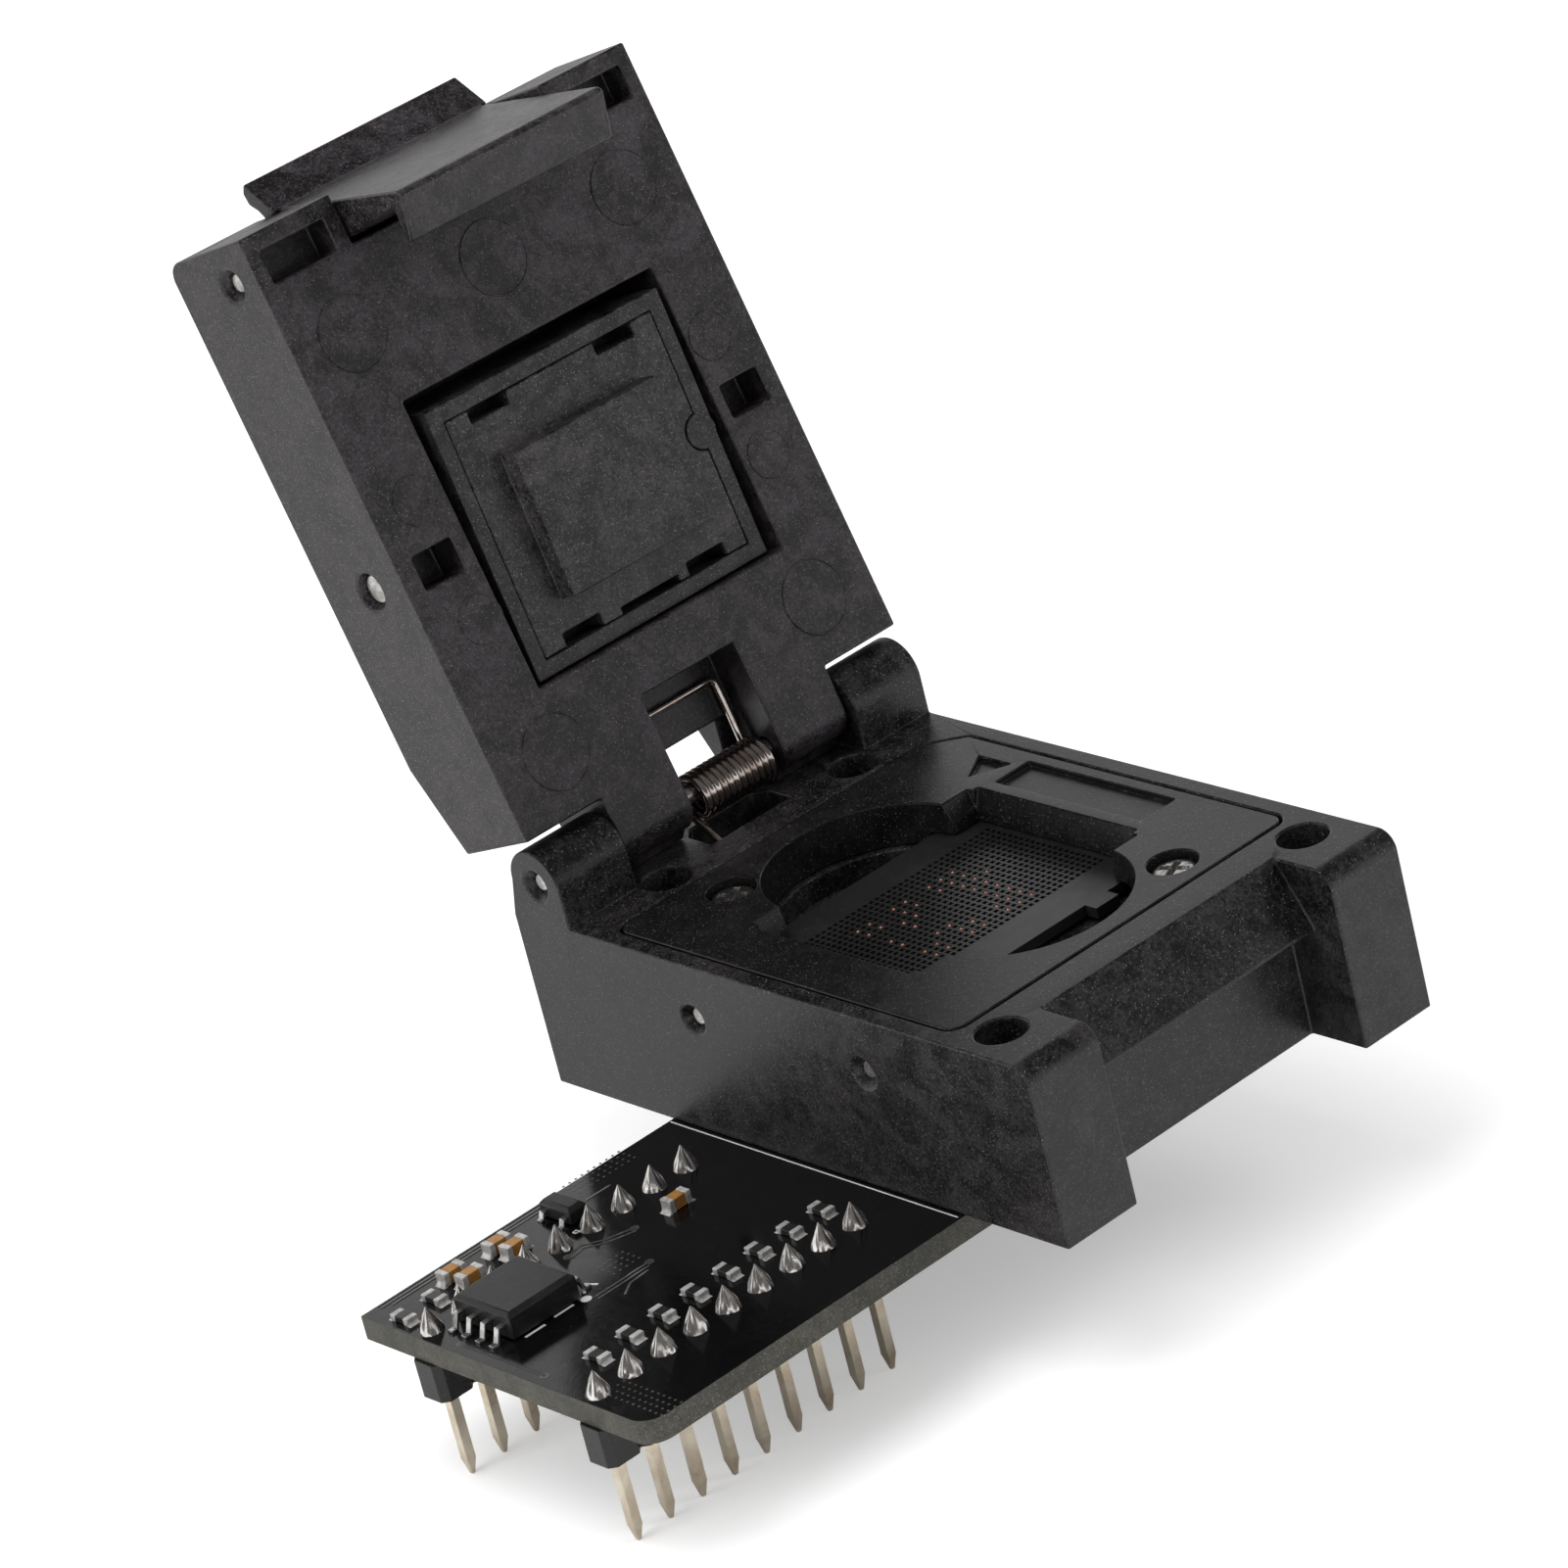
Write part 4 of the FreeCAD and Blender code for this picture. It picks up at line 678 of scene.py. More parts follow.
def refined(node: str, name: str, finish: Finish, bevel: float, segments: int = 2) -> bpy.types.Object:
    """Make a piece from a node's own shape, with its sharp edges rounded.

    Args:
        node: The node that gives the shape.
        name: The new piece's name.
        finish: What the piece is finished in.
        bevel: Width of the rounding in millimetres.
        segments: Faces across the rounding.

    Returns:
        The new object.
    """
    sharp_from, level_before, level_after = 31.0, 0.8, 0.5
    mesh = Socket.nodes[node].data.copy()
    mesh.name = name
    mesh.materials.clear()
    mesh.materials.append(finish.material())
    flatten(mesh, level_before)
    for key in ("custom_normal", "sharp_edge"):
        if key in mesh.attributes:
            mesh.attributes.remove(mesh.attributes[key])
    piece = put(name, smooth(mesh, sharp_from))
    modifier = piece.modifiers.new("edges", "BEVEL")
    modifier.width = bevel * MM
    modifier.segments = segments
    modifier.limit_method = "ANGLE"
    modifier.angle_limit = math.radians(sharp_from)
    modifier.use_clamp_overlap = False
    modifier.loop_slide = False
    modifier.miter_outer = "MITER_ARC"
    piece.data = applied(piece)
    flatten(piece.data, level_after)
    flats = piece.modifiers.new("flats", "WEIGHTED_NORMAL")
    flats.weight = 100
    flats.keep_sharp = True
    piece.data = applied(piece)
    return piece


def dress(node: str, name: str, finish: Finish, body: str, slot: str, bevel: float,
          segments: int = 2) -> None:
    """Replace a node by its own shape with rounded edges, as refined and settle say."""
    settle(refined(node, name, finish, bevel, segments), body, slot, node)


@dataclass
class Housing:
    """The base with its screwed-in guide frame, and the pins and screws in it."""

    edge: float = 0.12
    guide_edge: float = 0.09
    pin_dome: float = 0.12
    screw_places: tuple[Point, ...] = ((8.2, 34.6, 10.65), (22.2, 10.2, 10.65))
    screw_turn: float = 35.0
    head_radius: float = 1.45
    head_height: float = 0.8
    head_fall: float = 0.55
    head_sides: int = 72
    head_rings: int = 26
    shank_radius: float = 0.93
    shank_length: float = 4.8
    recess: float = 0.5
    recess_rise: float = 0.6
    arm_reach: float = 0.66
    arm_half: float = 0.22
    arm_slope: float = 0.05

    def build(self) -> None:
        """Build and dress the base, the guide frame and their hardware."""
        dress("base_body", "base_moulding", BODY_PLASTIC, "base", "black_plastic", self.edge)
        dress("guide_frame", "chip_guide", GUIDE_PLASTIC, "base", "black_plastic", self.guide_edge)
        Socket.coat(BODY_PLASTIC, "contact_block")
        for node in ("hinge_pin", "base_dowels"):
            dress(node, f"{node}_turned", PIN_STEEL, "base", "pin_steel", self.pin_dome, 3)
        screws = stand("guide_screws_turned", self.screw(), self.screw_places, SCREW_STEEL, Seat.BASE,
                       Turn_Spread=math.radians(self.screw_turn), Seed=3)
        settle(screws, "base", "screw_steel", "guide_screws")

    def screw(self) -> bpy.types.Mesh:
        """Model a screw with a domed head and a cross recess, its origin under the head."""
        sides, rings = self.head_sides, self.head_rings
        points: list[Point] = []
        for ring in range(rings + 1):
            share = ring / rings
            radius = self.head_radius * math.sin(math.pi / 2 * share)
            dome = self.head_height * (1 - self.head_fall * share ** 4)
            points.extend((x, y, z - self.cross_depth(x, y)) for x, y, z in circle(radius, dome, sides))
        for radius, level in ((self.head_radius, 0.0), (self.shank_radius, 0.0),
                              (self.shank_radius, -self.shank_length)):
            points.extend(circle(radius, level, sides))
        faces: list[Sequence[int]] = [(a, d, c, b) for a, b, c, d in walls(rings + 4, sides)]
        faces.append(tuple(reversed(range((rings + 3) * sides, (rings + 4) * sides))))
        return smooth(outward(mesh_from("guide_screw", points, (), faces), 1e-4), 35)

    def cross_depth(self, x: float, y: float) -> float:
        """Return how deep the cross recess is at a place on the head."""
        reach = self.head_radius * self.arm_reach
        depth = 0.0
        for along, across in ((abs(x), abs(y)), (abs(y), abs(x))):
            if along < reach:
                wall = max(0.0, min(1.0, (self.arm_half - across) / self.arm_slope))
                depth = max(depth, wall * self.recess * (1 - self.recess_rise * along / reach))
        return depth


@dataclass
class ContactField:
    """The sprung plate with its wells, and the copper tips that show in them."""

    centre: Point = (15.1, 23.1, 9.35)
    length: float = 17.0
    width: float = 10.5
    thickness: float = 0.7
    columns: int = 34
    rows: int = 21
    opening: float = 0.66
    well_depth: float = 0.45
    outline: Corners = ((4.9, 14.8), (18.7, 14.8), (18.7, 13.8), (20.6, 13.8), (20.6, 14.8), (24.8, 14.8),
                        (24.8, 31.1), (4.9, 31.1))
    first_tip: Point = (10.35, 26.1, 9.26)
    tip: Corners = ((0.15, 0.0), (0.15, 0.3), (0.1, 0.42), (0.02, 0.48))
    tip_rows: tuple[str, ...] = ("##.##.###.", "##.##.###.", "..##...###", "#.#....##.", "#......##.",
                                 "..##...##.", "##.##.###.", "##.##.###.")
    spring_columns: tuple[float, float] = (6.5, 23.2)
    spring_rows: tuple[float, float] = (17.2, 28.7)
    spring_level: float = 6.55
    spring_wire: float = 0.2
    spring_radius: float = 0.6
    spring_height: float = 2.35
    spring_turns: float = 5.0

    def build(self) -> None:
        """Build the plate, its margin, the tips and the springs below."""
        wells = well_recipe().run(
            "contact_plate_wells", points_mesh("well_field", [self.centre]), PLATE_PLASTIC, Seat.BASE,
            Length=self.length, Width=self.width, Thickness=self.thickness, Columns=self.columns,
            Rows=self.rows, Opening=self.opening, Depth=self.well_depth)
        settle(wells, "contact_plate", "black_plastic", "contact_plate")
        margin = put("contact_plate_margin", self.margin())
        margin.data.transform(Seat.BASE.matrix())
        margin.data.materials.append(PLATE_PLASTIC.material())
        settle(margin, "contact_plate", "black_plastic")
        tips = stand("contact_tips", turned("contact_tip", self.tip, 8), self.tips(), TIP_COPPER, Seat.BASE)
        settle(tips, "base", "contact_copper", "contact_pins")
        springs = [(x, y, self.spring_level) for x in self.spring_columns for y in self.spring_rows]
        coils = coil_recipe().run(
            "plate_coils", points_mesh("plate_coils", springs), SPRING_STEEL, Seat.BASE,
            Wire=self.spring_wire, Radius=self.spring_radius, Height=self.spring_height,
            Turns=self.spring_turns)
        settle(coils, "base", "spring_steel", "plate_springs")

    def tips(self) -> list[Point]:
        """Return the foot of each contact tip."""
        x, y, z = self.first_tip
        return [(x + column, y - row, z) for row, line in enumerate(self.tip_rows)
                for column, mark in enumerate(line) if mark == "#"]

    def margin(self) -> bpy.types.Mesh:
        """Model the plain border round the wells, closed on all sides."""
        cx, cy, cz = self.centre
        half_x, half_y = self.length / 2, self.width / 2
        inner = [(cx - half_x, cy - half_y), (cx + half_x, cy - half_y), (cx + half_x, cy + half_y),
                 (cx - half_x, cy + half_y)]
        shape = bmesh.new()
        levels = (cz - self.thickness / 2, cz + self.thickness / 2)
        rings = [[[shape.verts.new((x, y, z)) for x, y in ring] for ring in (self.outline, inner)]
                 for z in levels]
        for pair in rings:
            edges = [shape.edges.new((ring[k], ring[(k + 1) % len(ring)])) for ring in pair
                     for k in range(len(ring))]
            bmesh.ops.triangle_fill(shape, edges=edges, use_beauty=True)
        for low, high in zip(*rings):
            for k in range(len(low)):
                n = (k + 1) % len(low)
                shape.faces.new((low[k], low[n], high[n], high[k]))
        mesh = bpy.data.meshes.new("plate_margin")
        shape.to_mesh(mesh)
        shape.free()
        return outward(mesh)


@dataclass
class ClamLid:
    """The lid with its pins, the marks of its mould and the hidden springs."""

    edge: float = 0.14
    pin_dome: float = 0.14
    face_out: float = 1.71
    mark_rise: float = 0.035
    big_mark: float = 2.45
    small_mark: float = 1.6
    big_places: Corners = ((4.24, 34.92), (15.58, 34.97), (26.39, 35.02), (4.46, 6.78), (26.29, 6.93))
    small_places: Corners = ((3.08, 24.31), (3.68, 16.06), (27.48, 24.39), (27.72, 16.17))

    def build(self) -> None:
        """Build and dress the lid and what stays in it."""
        dress("lid_frame", "lid_moulding", LID_PLASTIC, "lid", "black_plastic", self.edge)
        for node in ("pressure_pin", "latch_pin"):
            dress(node, f"{node}_turned", PIN_STEEL, "lid", "pin_steel", self.pin_dome, 3)
        self.build_marks()
        Socket.coat(SPRING_STEEL, "pressure_springs", "latch_springs")

    def build_marks(self) -> None:
        """Build the round witness marks of the mould's pins as shallow discs on the inner face.

        A mark's place is its distance from the base's left side and its distance up the lid from the hinge.
        """
        places = [*self.big_places, *self.small_places]
        sizes = [self.big_mark] * len(self.big_places) + [self.small_mark] * len(self.small_places)
        rise = self.mark_rise
        disc = turned("mould_mark", ((0.985, 0.4 * rise), (1.0, 0.0), (0.985, -rise), (0.955, -rise),
                                     (0.94, -0.35 * rise), (0.4, -0.3 * rise), (0.01, -0.3 * rise)), 64)
        disc.flip_normals()
        marks = stand("lid_mould_marks", disc, [(x, -up, -self.face_out) for x, up in places], LID_PLASTIC,
                      Seat.LID, sizes)
        settle(marks, "lid", "black_plastic")


@dataclass
class PressurePad:
    """The floating frame in the lid's window and the insert that presses on the chip."""

    frame_edge: float = 0.07
    insert_edge: float = 0.1

    def build(self) -> None:
        """Build and dress the floating frame and its insert."""
        dress("pressure_frame", "floating_frame", FRAME_PLASTIC, "pressure_frame", "black_plastic",
              self.frame_edge)
        dress("pressure_insert", "press_insert", PAD_PLASTIC, "pressure_frame", "black_plastic",
              self.insert_edge)


@dataclass
class HookLatch:
    """The latch with its hook and thumb lever."""

    edge: float = 0.14

    def build(self) -> None:
        """Build and dress the latch."""
        dress("latch", "hook_latch", LID_PLASTIC, "latch", "black_plastic", self.edge)


@dataclass
class LidSpring:
    """The torsion spring on the hinge pin, with its foot in the base and its leg in the lid."""

    wire: float = 0.5
    sides: int = 14
    radius: float = 1.32
    turns: int = 12
    start: float = 12.85
    end: float = 18.75
    axis: tuple[float, float] = (42.81, 14.04)
    foot_turn: float = 60.0
    foot_end: tuple[float, float] = (40.8, 11.357)
    leg_start: Point = (18.75, 44.811, 16.564)
    leg_corner: Point = (18.75, 45.642, 19.028)
    leg_bow: float = 0.04
    leg_run: float = 5.7
    bend: float = 0.55
    bend_steps: int = 6
    steps: int = 36

    def on_coil(self, x: float, turn: float) -> Vector:
        """Return the point of the coil at an angle."""
        y, z = self.axis
        return Vector((x, y + self.radius * math.cos(turn), z + self.radius * math.sin(turn)))

    def coil_points(self) -> list[Vector]:
        """Return the wire's path round the hinge and up the floor of the open lid's slot."""
        first = -math.radians(self.foot_turn)
        last = math.pi / 2 - OPEN_ANGLE + 2 * math.pi * self.turns
        count = self.turns * self.steps
        points = [self.on_coil(self.start + (self.end - self.start) * k / count,
                               first + (last - first) * k / count) for k in range(count + 1)]
        start, corner = Vector(self.leg_start), Vector(self.leg_corner)
        up, left = (corner - start).normalized(), Vector((-1, 0, 0))
        points.append((points[-1] + start) / 2 + up.cross(left) * self.leg_bow)
        points.append(start)
        centre = corner - up * self.bend + left * self.bend
        for k in range(self.bend_steps + 1):
            angle = math.pi / 2 * k / self.bend_steps
            points.append(centre - left * self.bend * math.cos(angle) + up * self.bend * math.sin(angle))
        points.append(corner + left * self.leg_run)
        return points

    def build(self) -> None:
        """Build the coil with its lid leg, and the foot in the base."""
        foot = [Vector((self.start, *self.foot_end)), self.on_coil(self.start, -math.radians(self.foot_turn))]
        for name, path, body, nodes in (("coil", self.coil_points(), "lid", ["torsion_spring"]),
                                        ("foot", foot, "base", [])):
            piece = wire_recipe().run(f"lid_spring_{name}", polylines(name, [path]), SPRING_STEEL, Seat.BASE,
                                      Wire=self.wire, Sides=self.sides)
            settle(piece, body, "spring_steel", *nodes)


@dataclass
class HeaderRows:
    """The two header strips with their pins and solder cones."""

    pitch: float = 2.54
    rows: tuple[tuple[str, float], ...] = (("front", -7.62), ("rear", 7.62))
    per_side: int = 4
    strip_edge: float = 0.05
    half: float = 0.32
    tip_half: float = 0.12
    tip: float = -5.7
    tip_length: float = 1.0
    shoulder_round: float = 0.03
    shoulder_run: float = 0.1
    sunk: float = 0.02
    cone_sides: int = 56
    flutes: int = 7
    flute_depth: float = 0.07
    flute_from: float = 0.3
    flute_drift: float = 0.6
    sway: float = 0.03
    cone: Corners = (
        (0.84, 0.0), (0.82, 0.06), (0.76, 0.2), (0.69, 0.35), (0.61, 0.52), (0.53, 0.68), (0.44, 0.84),
        (0.36, 1.0), (0.27, 1.14), (0.2, 1.27), (0.13, 1.39), (0.08, 1.49), (0.03, 1.55))

    def pin(self) -> bpy.types.Mesh:
        """Model one square pin, pointed at its foot."""
        shoulder = self.tip + self.tip_length
        levels = ((self.tip_half, self.tip), (self.half - self.shoulder_round, shoulder - self.shoulder_run),
                  (self.half, shoulder), (self.half, BOARD_TOP - self.sunk))
        points = [(a * r, b * r, z) for r, z in levels for a, b in ((-1, -1), (1, -1), (1, 1), (-1, 1))]
        return mesh_from("header_pin", points, (), [(3, 2, 1, 0), (12, 13, 14, 15), *walls(4, 4)])

    def pull(self, turn: float, height: float) -> float:
        """Return how far the solder is drawn out at an angle and a height, as a factor on its radius."""
        flute = math.cos(self.flutes * turn + self.flute_drift * math.sin(2 * turn))
        ridge = self.flute_depth * (flute * min(1.0, height / self.flute_from) - 1)
        return 1 + ridge + self.sway * math.cos(3 * turn + 5 * height)

    def build(self) -> None:
        """Build both rows."""
        pin = self.pin()
        cone = turned("solder_cone", self.cone, self.cone_sides, self.pull)
        xs = [self.pitch * k for k in range(-self.per_side, self.per_side + 1)]
        for name, y in self.rows:
            dress(f"header_strip_{name}", f"header_moulding_{name}", STRIP_PLASTIC, "base", "strip_plastic",
                  self.strip_edge)
            settle(stand(f"pins_{name}", pin, [(x, y, 0) for x in xs], PIN_GOLD, Seat.BOARD), "base",
                   "pin_gold", f"header_pins_{name}")
            cones = stand(f"solder_{name}", cone, [(x, y, BOARD_TOP) for x in xs], SOLDER, Seat.BOARD,
                          Turn_Spread=6.28, Seed=11)
            settle(cones, "base", "solder", f"solder_joints_{name}")


@dataclass
class AdapterBoard:
    """The board with its mask, cut edge, masked tracks, vias and screened marks."""

    edge: float = 0.03
    lift: float = 0.012
    ink: float = 0.02
    line: float = 0.1
    dash: float = 0.2
    track: float = 0.17
    via: float = 0.3
    end_line: Corners = ((13.55, -12.9), (13.55, 12.9))
    dashes: tuple[Corners, ...] = (
        ((-5.66, 1.6), (-4.16, 1.6)), ((-8.04, 1.45), (-6.51, 1.45)), ((2.42, 9.6), (3.31, 9.6)),
        ((-2.34, 2.99), (-1.86, 2.01)), ((-2.34, 2.99), (-2.98, 1.95)), ((1.52, 7.98), (1.82, 8.28)),
        ((1.52, 8.28), (1.82, 7.98)))
    tracks: tuple[Corners, ...] = (
        ((-3.0, 1.05), (1.4, 1.05)), ((-3.0, 0.7), (1.1, 0.7)), ((-1.9, -0.5), (-0.85, 0.25), (0.7, 0.35)),
        ((-10.0, 12.6), (3.0, 12.6)), ((-10.0, 12.95), (3.4, 12.95)), ((-9.4, 12.25), (2.2, 12.25)),
        ((-0.58, 6.29), (0.7, 6.61), (1.77, 5.73), (3.68, 5.03)),
        ((-0.58, 5.89), (0.6, 6.16), (1.57, 5.38), (3.5, 4.66)), ((-10.4, -3.1), (-10.4, 4.6)),
        ((4.5, 10.5), (6.5, 10.5)))
    vias: Corners = ((1.4, 1.05), (-0.58, 6.29), (3.68, 5.03), (-10.4, 4.6), (-10.4, -3.1))
    dot_fields: tuple[tuple[float, float, int, int], ...] = ((5.0, 11.7, 10, 4), (-0.6, 2.0, 5, 4),
                                                             (-10.0, -13.0, 4, 11))
    dot_pitch: float = 0.5
    dot: float = 0.09
    round_mark: tuple[float, float] = (-3.34, 1.38)
    mark_radius: float = 0.35

    def build(self) -> None:
        """Build the board and what is on its mask."""
        board = refined("circuit_board", "adapter_board", MASK, self.edge, 1)
        board.data.materials.append(LAMINATE.material())
        for face in board.data.polygons:
            face.material_index = 1 if abs(face.normal.z) < 0.5 else 0
        settle(board, "base", "board_mask", "circuit_board")
        self.lay("screened_lines", [self.end_line], self.line, SCREEN_INK)
        self.lay("screened_dashes", self.dashes, self.dash, SCREEN_INK)
        self.lay("masked_tracks", self.tracks, self.track, TRACE_MASK)
        via = turned("via", ((1.0, 0.0), (0.96, 0.06), (0.5, 0.06), (0.44, 0.01), (0.02, 0.01)), 24)
        self.dab("masked_vias", via, self.vias, self.via, TRACE_MASK)
        dots = [(x + self.dot_pitch * column, y + self.dot_pitch * row)
                for x, y, columns, rows in self.dot_fields
                for column in range(columns) for row in range(rows)]
        dot = turned("dot", ((1.0, 0.0), (0.95, 0.2), (0.02, 0.2)), 12)
        self.dab("masked_dots", dot, dots, self.dot, TRACE_MASK)
        disc = turned("round_mark", ((1.0, 0.0), (0.97, 0.06), (0.02, 0.06)), 32)
        self.dab("screened_round_mark", disc, [self.round_mark], self.mark_radius, SCREEN_INK)

    def lay(self, name: str, lines: Iterable[Corners], width: float, finish: Finish) -> None:
        """Lay flat lines on the board's top.

        Args:
            name: The piece's name.
            lines: The corners of each line.
            width: How wide the lines are.
            finish: What they are finished in.
        """
        z = BOARD_TOP + self.lift
        paths = polylines(name, [[(x, y, z) for x, y in line] for line in lines])
        settle(track_recipe().run(name, paths, finish, Seat.BOARD, Width=width, Height=self.ink), "base",
               "board_mask")

    @staticmethod
    def dab(name: str, shape: bpy.types.Mesh, places: Sequence[Point], radius: float, finish: Finish) -> None:
        """Put a small round shape on the board's top at each place.

        Args:
            name: The piece's name.
            shape: The shape, of radius one.
            places: Where it is put.
            radius: Its radius there.
            finish: What it is finished in.
        """
        points = [(x, y, BOARD_TOP) for x, y in places]
        settle(stand(name, shape, points, finish, Seat.BOARD, [radius] * len(points)), "base", "board_mask")


@dataclass
class SmallParts:
    """The memory chip, the regulator, the capacitors and the resistors."""

    package_edge: float = 0.06
    lead_edge: float = 0.03
    chip_edge: float = 0.04
    capacitors: int = 5
    resistors: int = 10
    cap_length: float = 0.42
    fillet: float = 0.26
    fillet_height: float = 0.6
    fillet_steps: int = 6
    overlap: float = 0.02
    foot_overlap: float = 0.1

    def build(self) -> None:
        """Build and dress the small parts."""
        for node in ("memory_chip", "regulator"):
            dress(node, f"{node}_package", PACKAGE_PLASTIC, "base", "package_black", self.package_edge)
            dress(f"{node}_leads", f"{node}_formed_leads", TIN, "base", "lead_tin", self.lead_edge)
        capacitors = [f"capacitor_{number + 1}" for number in range(self.capacitors)]
        resistors = [f"resistor_{number + 1}" for number in range(self.resistors)]
        for node in capacitors:
            self.two_tone(node, CERAMIC, "capacitor_tan", 0)
        for node in resistors:
            self.two_tone(node, RESISTOR_COAT, "resistor_black", 1)
        self.fillets("capacitor_fillets", capacitors, 0)
        self.fillets("resistor_fillets", resistors, 1)

    def two_tone(self, node: str, middle: Finish, slot: str, axis: int) -> None:
        """Build a part from its node, with metal ends.

        Args:
            node: The node that gives the shape.
            middle: Finish of the body.
            slot: The record's material slot.
            axis: The axis along its length, 0 for X and 1 for Y.
        """
        piece = refined(node, f"{node}_chip", middle, self.chip_edge)
        piece.data.materials.append(CAP_METAL.material())
        low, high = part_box(node)
        centre = (low[axis] + high[axis]) / 2
        body = (high[axis] - low[axis]) / 2 - self.cap_length * MM
        for face in piece.data.polygons:
            face.material_index = 1 if abs(face.center[axis] - centre) > body else 0
        settle(piece, "base", slot, node)

    def fillets(self, name: str, nodes: Iterable[str], axis: int) -> None:
        """Build the solder that rises from the board to the ends of a row of parts.

        Args:
            name: The piece's name.
            nodes: The parts.
            axis: The axis along their length, 0 for X and 1 for Y.
        """
        points: list[Point] = []
        faces: list[Sequence[int]] = []
        rows = self.fillet_steps + 1
        for node in nodes:
            for side in (-1, 1):
                start = len(points)
                points.extend(self.fillet_points(node, side, axis))
                foot = start + 2 * rows
                for a in range(start, foot - 2, 2):
                    faces.append((a, a + 1, a + 3, a + 2))
                    faces.extend((a + edge, a + 2 + edge, foot + edge) for edge in (0, 1))
                faces.extend((a, a + 1, foot + 1, foot) for a in (start, foot - 2))
        piece = put(name, smooth(outward(mesh_from(name, points, (), faces)), 35))
        piece.data.materials.append(CAP_METAL.material())
        settle(piece, "base", "solder")

    def fillet_points(self, node: str, side: int, axis: int) -> list[Point]:
        """Return the points of the solder at one end of a part, in pairs across it.

        Args:
            node: The part.
            side: The end, -1 or 1.
            axis: The axis along the part's length, 0 for X and 1 for Y.

        Returns:
            The pairs up the hollow curve, and then the pair at the foot, under the part.
        """
        low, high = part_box(node)
        middle, half = (low + high) / 2, (high - low) / 2
        along, across = half[axis], half[1 - axis]
        pairs: list[Point] = []
        for step in range(self.fillet_steps + 1):
            turn = math.pi / 2 * step / self.fillet_steps
            pairs.append((along + self.fillet * MM * (1 - math.sin(turn)) - self.overlap * MM,
                          across - self.overlap * MM * step,
                          low.z + 2 * half.z * self.fillet_height * (1 - math.cos(turn))))
        pairs.append((along - self.foot_overlap * MM, across, low.z))
        points: list[Point] = []
        for reach, width, level in pairs:
            for edge in (-1, 1):
                point = [0.0, 0.0, level]
                point[axis] = middle[axis] + side * reach
                point[1 - axis] = middle[1 - axis] + edge * width
                points.append(point)
        return points


# Studio


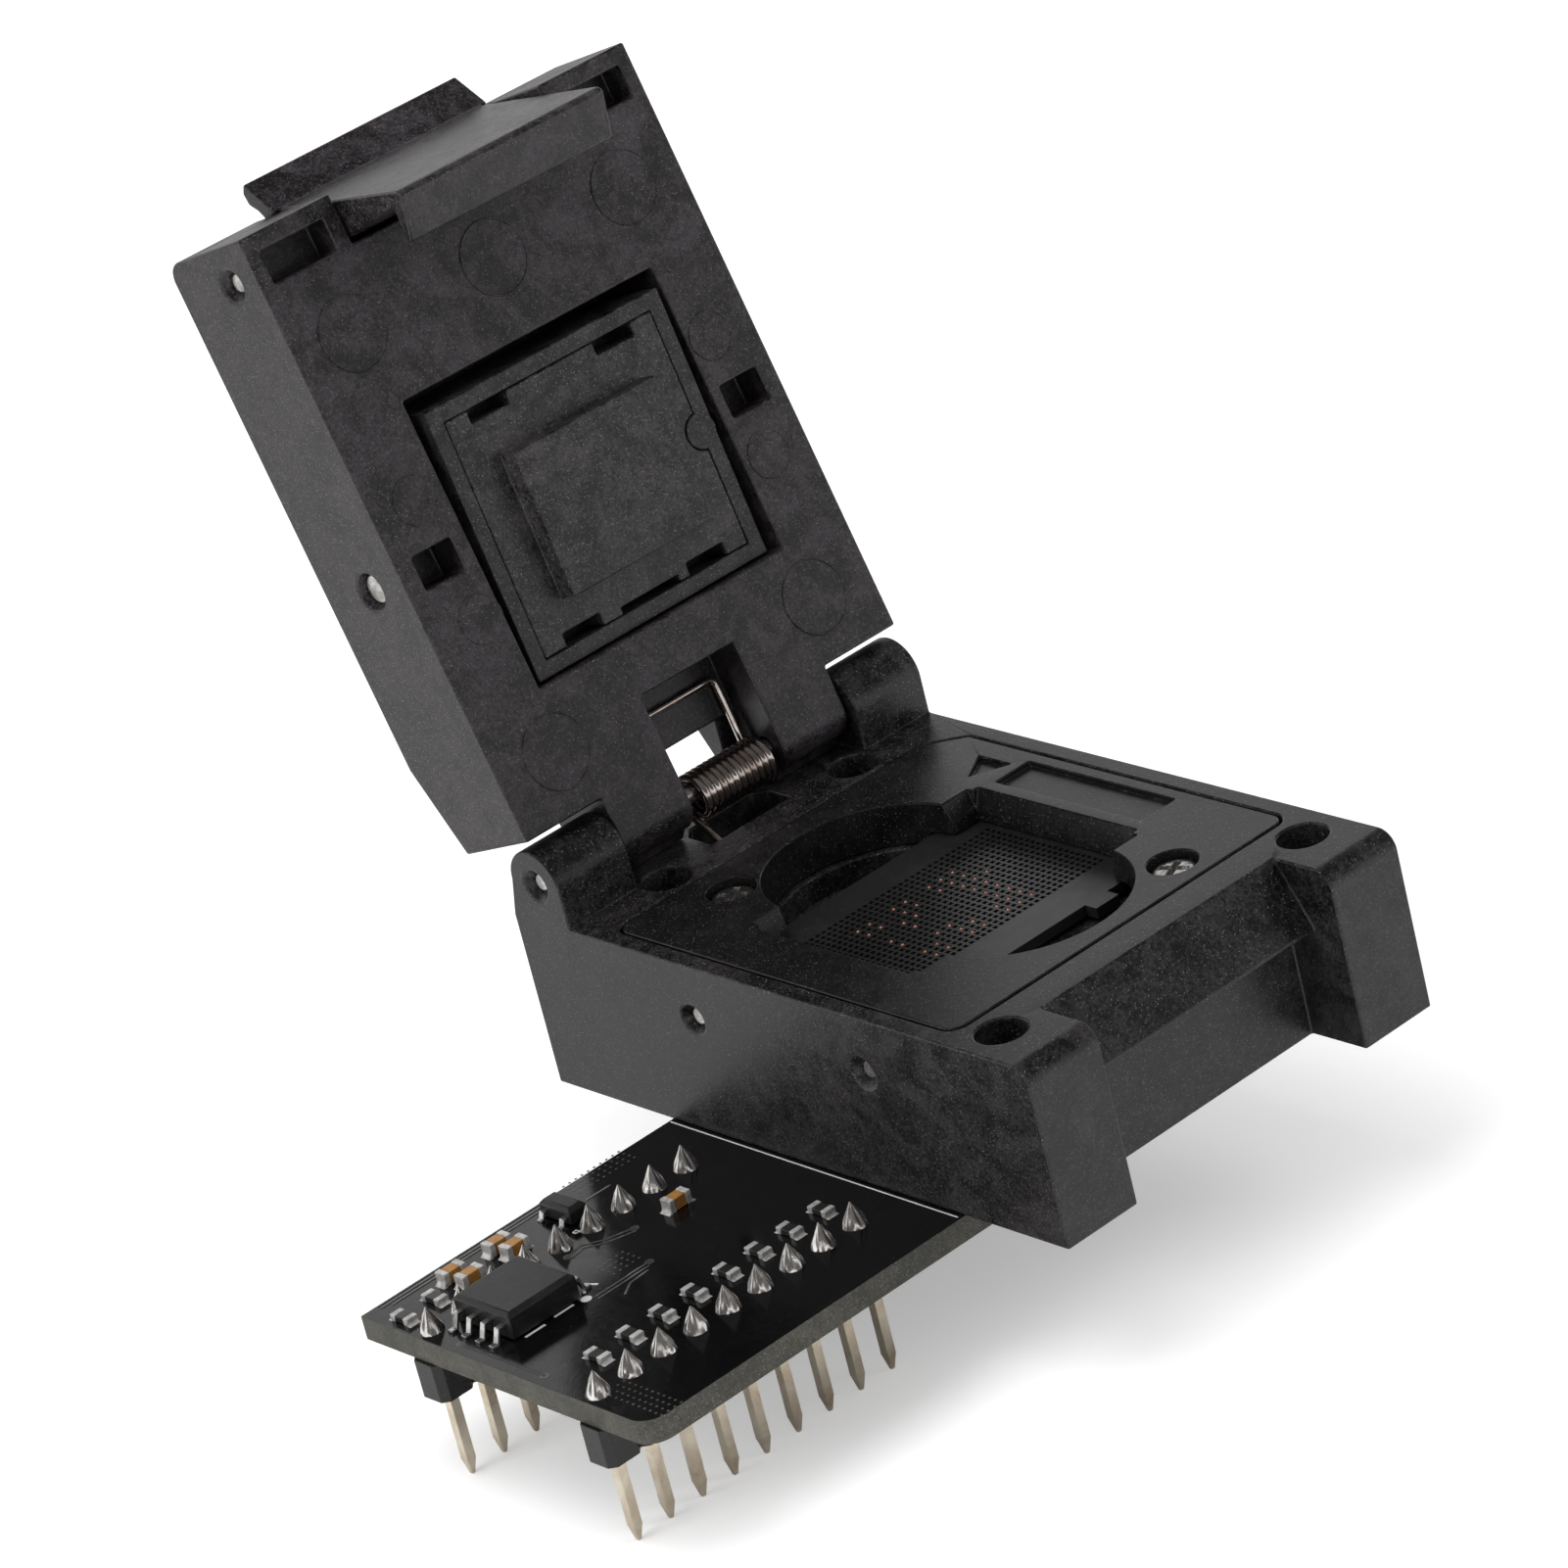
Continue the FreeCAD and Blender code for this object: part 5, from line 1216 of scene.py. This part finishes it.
@dataclass
class Studio:
    """The floor, the lamps, the white surround and the camera."""

    floor_level: float = -5.72
    floor_half: float = 4.0
    paper: float = 0.9
    paper_lift: float = 0.35
    paper_reach: tuple[float, float] = (0.15, 0.5)
    soft_light: float = 0.42
    horizon: tuple[float, float] = (0.13, 0.24)
    horizon_light: float = 1.05
    room_light: float = 0.12
    rear_lift: float = 0.45
    camera_place: Point = (-202.06668, -300.68592, 197.66153)
    right: Point = (0.7211479, -0.6556973, -0.2236218)
    down: Point = (-0.4362375, -0.1790352, -0.8818409)
    forward: Point = (0.5381845, 0.7334899, -0.4151506)
    lens: float = 161.748
    sensor: float = 36.0
    clip: tuple[float, float] = (0.01, 20.0)
    target: Point = (15.0, 5.0, 25.0)
    lamps: tuple[tuple[str, Point, float, float], ...] = (
        ("top_softbox", (-60.0, 60.0, 330.0), 260.0, 0.62),
        ("left_softbox", (-330.0, 40.0, 170.0), 220.0, 0.48),
        ("right_softbox", (260.0, -190.0, 190.0), 200.0, 0.4))

    def build(self) -> None:
        """Set up the whole studio."""
        self.build_floor()
        self.build_surround()
        for name, place, side, power in self.lamps:
            self.add_lamp(name, Vector(place), side, power)
        self.build_camera()
        bpy.context.scene.view_settings.view_transform = "Standard"
        LOG.info("studio set up with %d lamps", len(self.lamps))

    def build_floor(self) -> None:
        """Lay a pale floor that keeps the shadow and is white elsewhere to the camera."""
        material = bpy.data.materials.new("studio_paper")
        material.use_nodes = True
        tree = Tree(material.node_tree)
        path = tree.add("ShaderNodeLightPath")
        place = tree.add("ShaderNodeTexCoord")
        reach = tree.add("ShaderNodeVectorMath", {0: place.outputs["Object"]}, operation="LENGTH")
        lift = tree.span(reach.outputs["Value"], *self.paper_reach, self.paper_lift, 1.0)
        shader = material.node_tree.nodes["Principled BSDF"]
        for label, value in (
                ("Base Color", (self.paper, self.paper, self.paper, 1)), ("Roughness", 0.9),
                ("Specular IOR Level", 0.1), ("Emission Color", (1, 1, 1, 1)),
                ("Emission Strength", tree.compute("MULTIPLY", path.outputs["Is Camera Ray"], lift))):
            tree.feed(shader.inputs[label], value)
        half = self.floor_half
        corners = [(x, y, self.floor_level * MM) for x, y in ((-half, -half), (half, -half), (half, half),
                                                              (-half, half))]
        floor = put("studio_floor", mesh_from("studio_floor", corners, (), [(0, 1, 2, 3)]))
        floor.data.materials.append(material)

    def build_surround(self) -> None:
        """Make the surround white to the camera, and to gloss a white horizon under a dark room."""
        world = bpy.data.worlds.new("studio_surround")
        bpy.context.scene.world = world
        world.use_nodes = True
        tree = Tree(world.node_tree)
        path = tree.add("ShaderNodeLightPath").outputs
        seen = tree.compute("MAXIMUM", path["Is Camera Ray"], path["Is Transmission Ray"])
        place = tree.add("ShaderNodeTexCoord")
        way = tree.add("ShaderNodeSeparateXYZ", {0: place.outputs["Generated"]})
        rear = tree.compute("MAXIMUM", way.outputs["Y"], 0.0)
        lift = tree.compute("MULTIPLY_ADD", rear, -self.rear_lift, way.outputs["Z"])
        horizon = tree.span(lift, *self.horizon, self.horizon_light, self.room_light)
        lit = tree.add("ShaderNodeMix", {0: path["Is Glossy Ray"], 2: self.soft_light, 3: horizon},
                       data_type="FLOAT")
        level = tree.add("ShaderNodeMix", {0: seen, 2: lit.outputs[0], 3: 1.0}, data_type="FLOAT")
        back = world.node_tree.nodes["Background"]
        tree.feed(back.inputs["Color"], (1, 1, 1, 1))
        tree.feed(back.inputs["Strength"], level.outputs[0])

    def add_lamp(self, name: str, place: Vector, side: float, power: float) -> None:
        """Add a square softbox that faces the object and leaves gloss to the surround.

        Args:
            name: The lamp's name.
            place: Where it hangs, in millimetres.
            side: Its side in millimetres.
            power: Its power in watts.
        """
        data = bpy.data.lights.new(name, "AREA")
        data.shape = "SQUARE"
        data.size = side * MM
        data.energy = power
        lamp = put(name, data)
        lamp.location = place * MM
        lamp.visible_glossy = False
        lamp.rotation_euler = (Vector(self.target) - place).to_track_quat("-Z", "Y").to_euler()

    def build_camera(self) -> None:
        """Place the camera at the photograph's point of view."""
        data = bpy.data.cameras.new("view_camera")
        data.sensor_width = self.sensor
        data.lens = self.lens
        data.clip_start, data.clip_end = self.clip
        camera = put("view_camera", data)
        turn = Matrix((self.right, -Vector(self.down), -Vector(self.forward))).transposed().to_4x4()
        camera.matrix_world = Matrix.Translation(Vector(self.camera_place) * MM) @ turn
        bpy.context.scene.camera = camera


def main() -> None:
    """Build every sub-assembly in order, then the studio round it."""
    logging.basicConfig(level=logging.INFO, format="%(name)s: %(message)s")
    Socket.load()
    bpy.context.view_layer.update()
    for part in (Housing(), ContactField(), ClamLid(), PressurePad(), HookLatch(), LidSpring(), HeaderRows(),
                 AdapterBoard(), SmallParts(), Studio()):
        part.build()


if __name__ == "__main__":
    main()
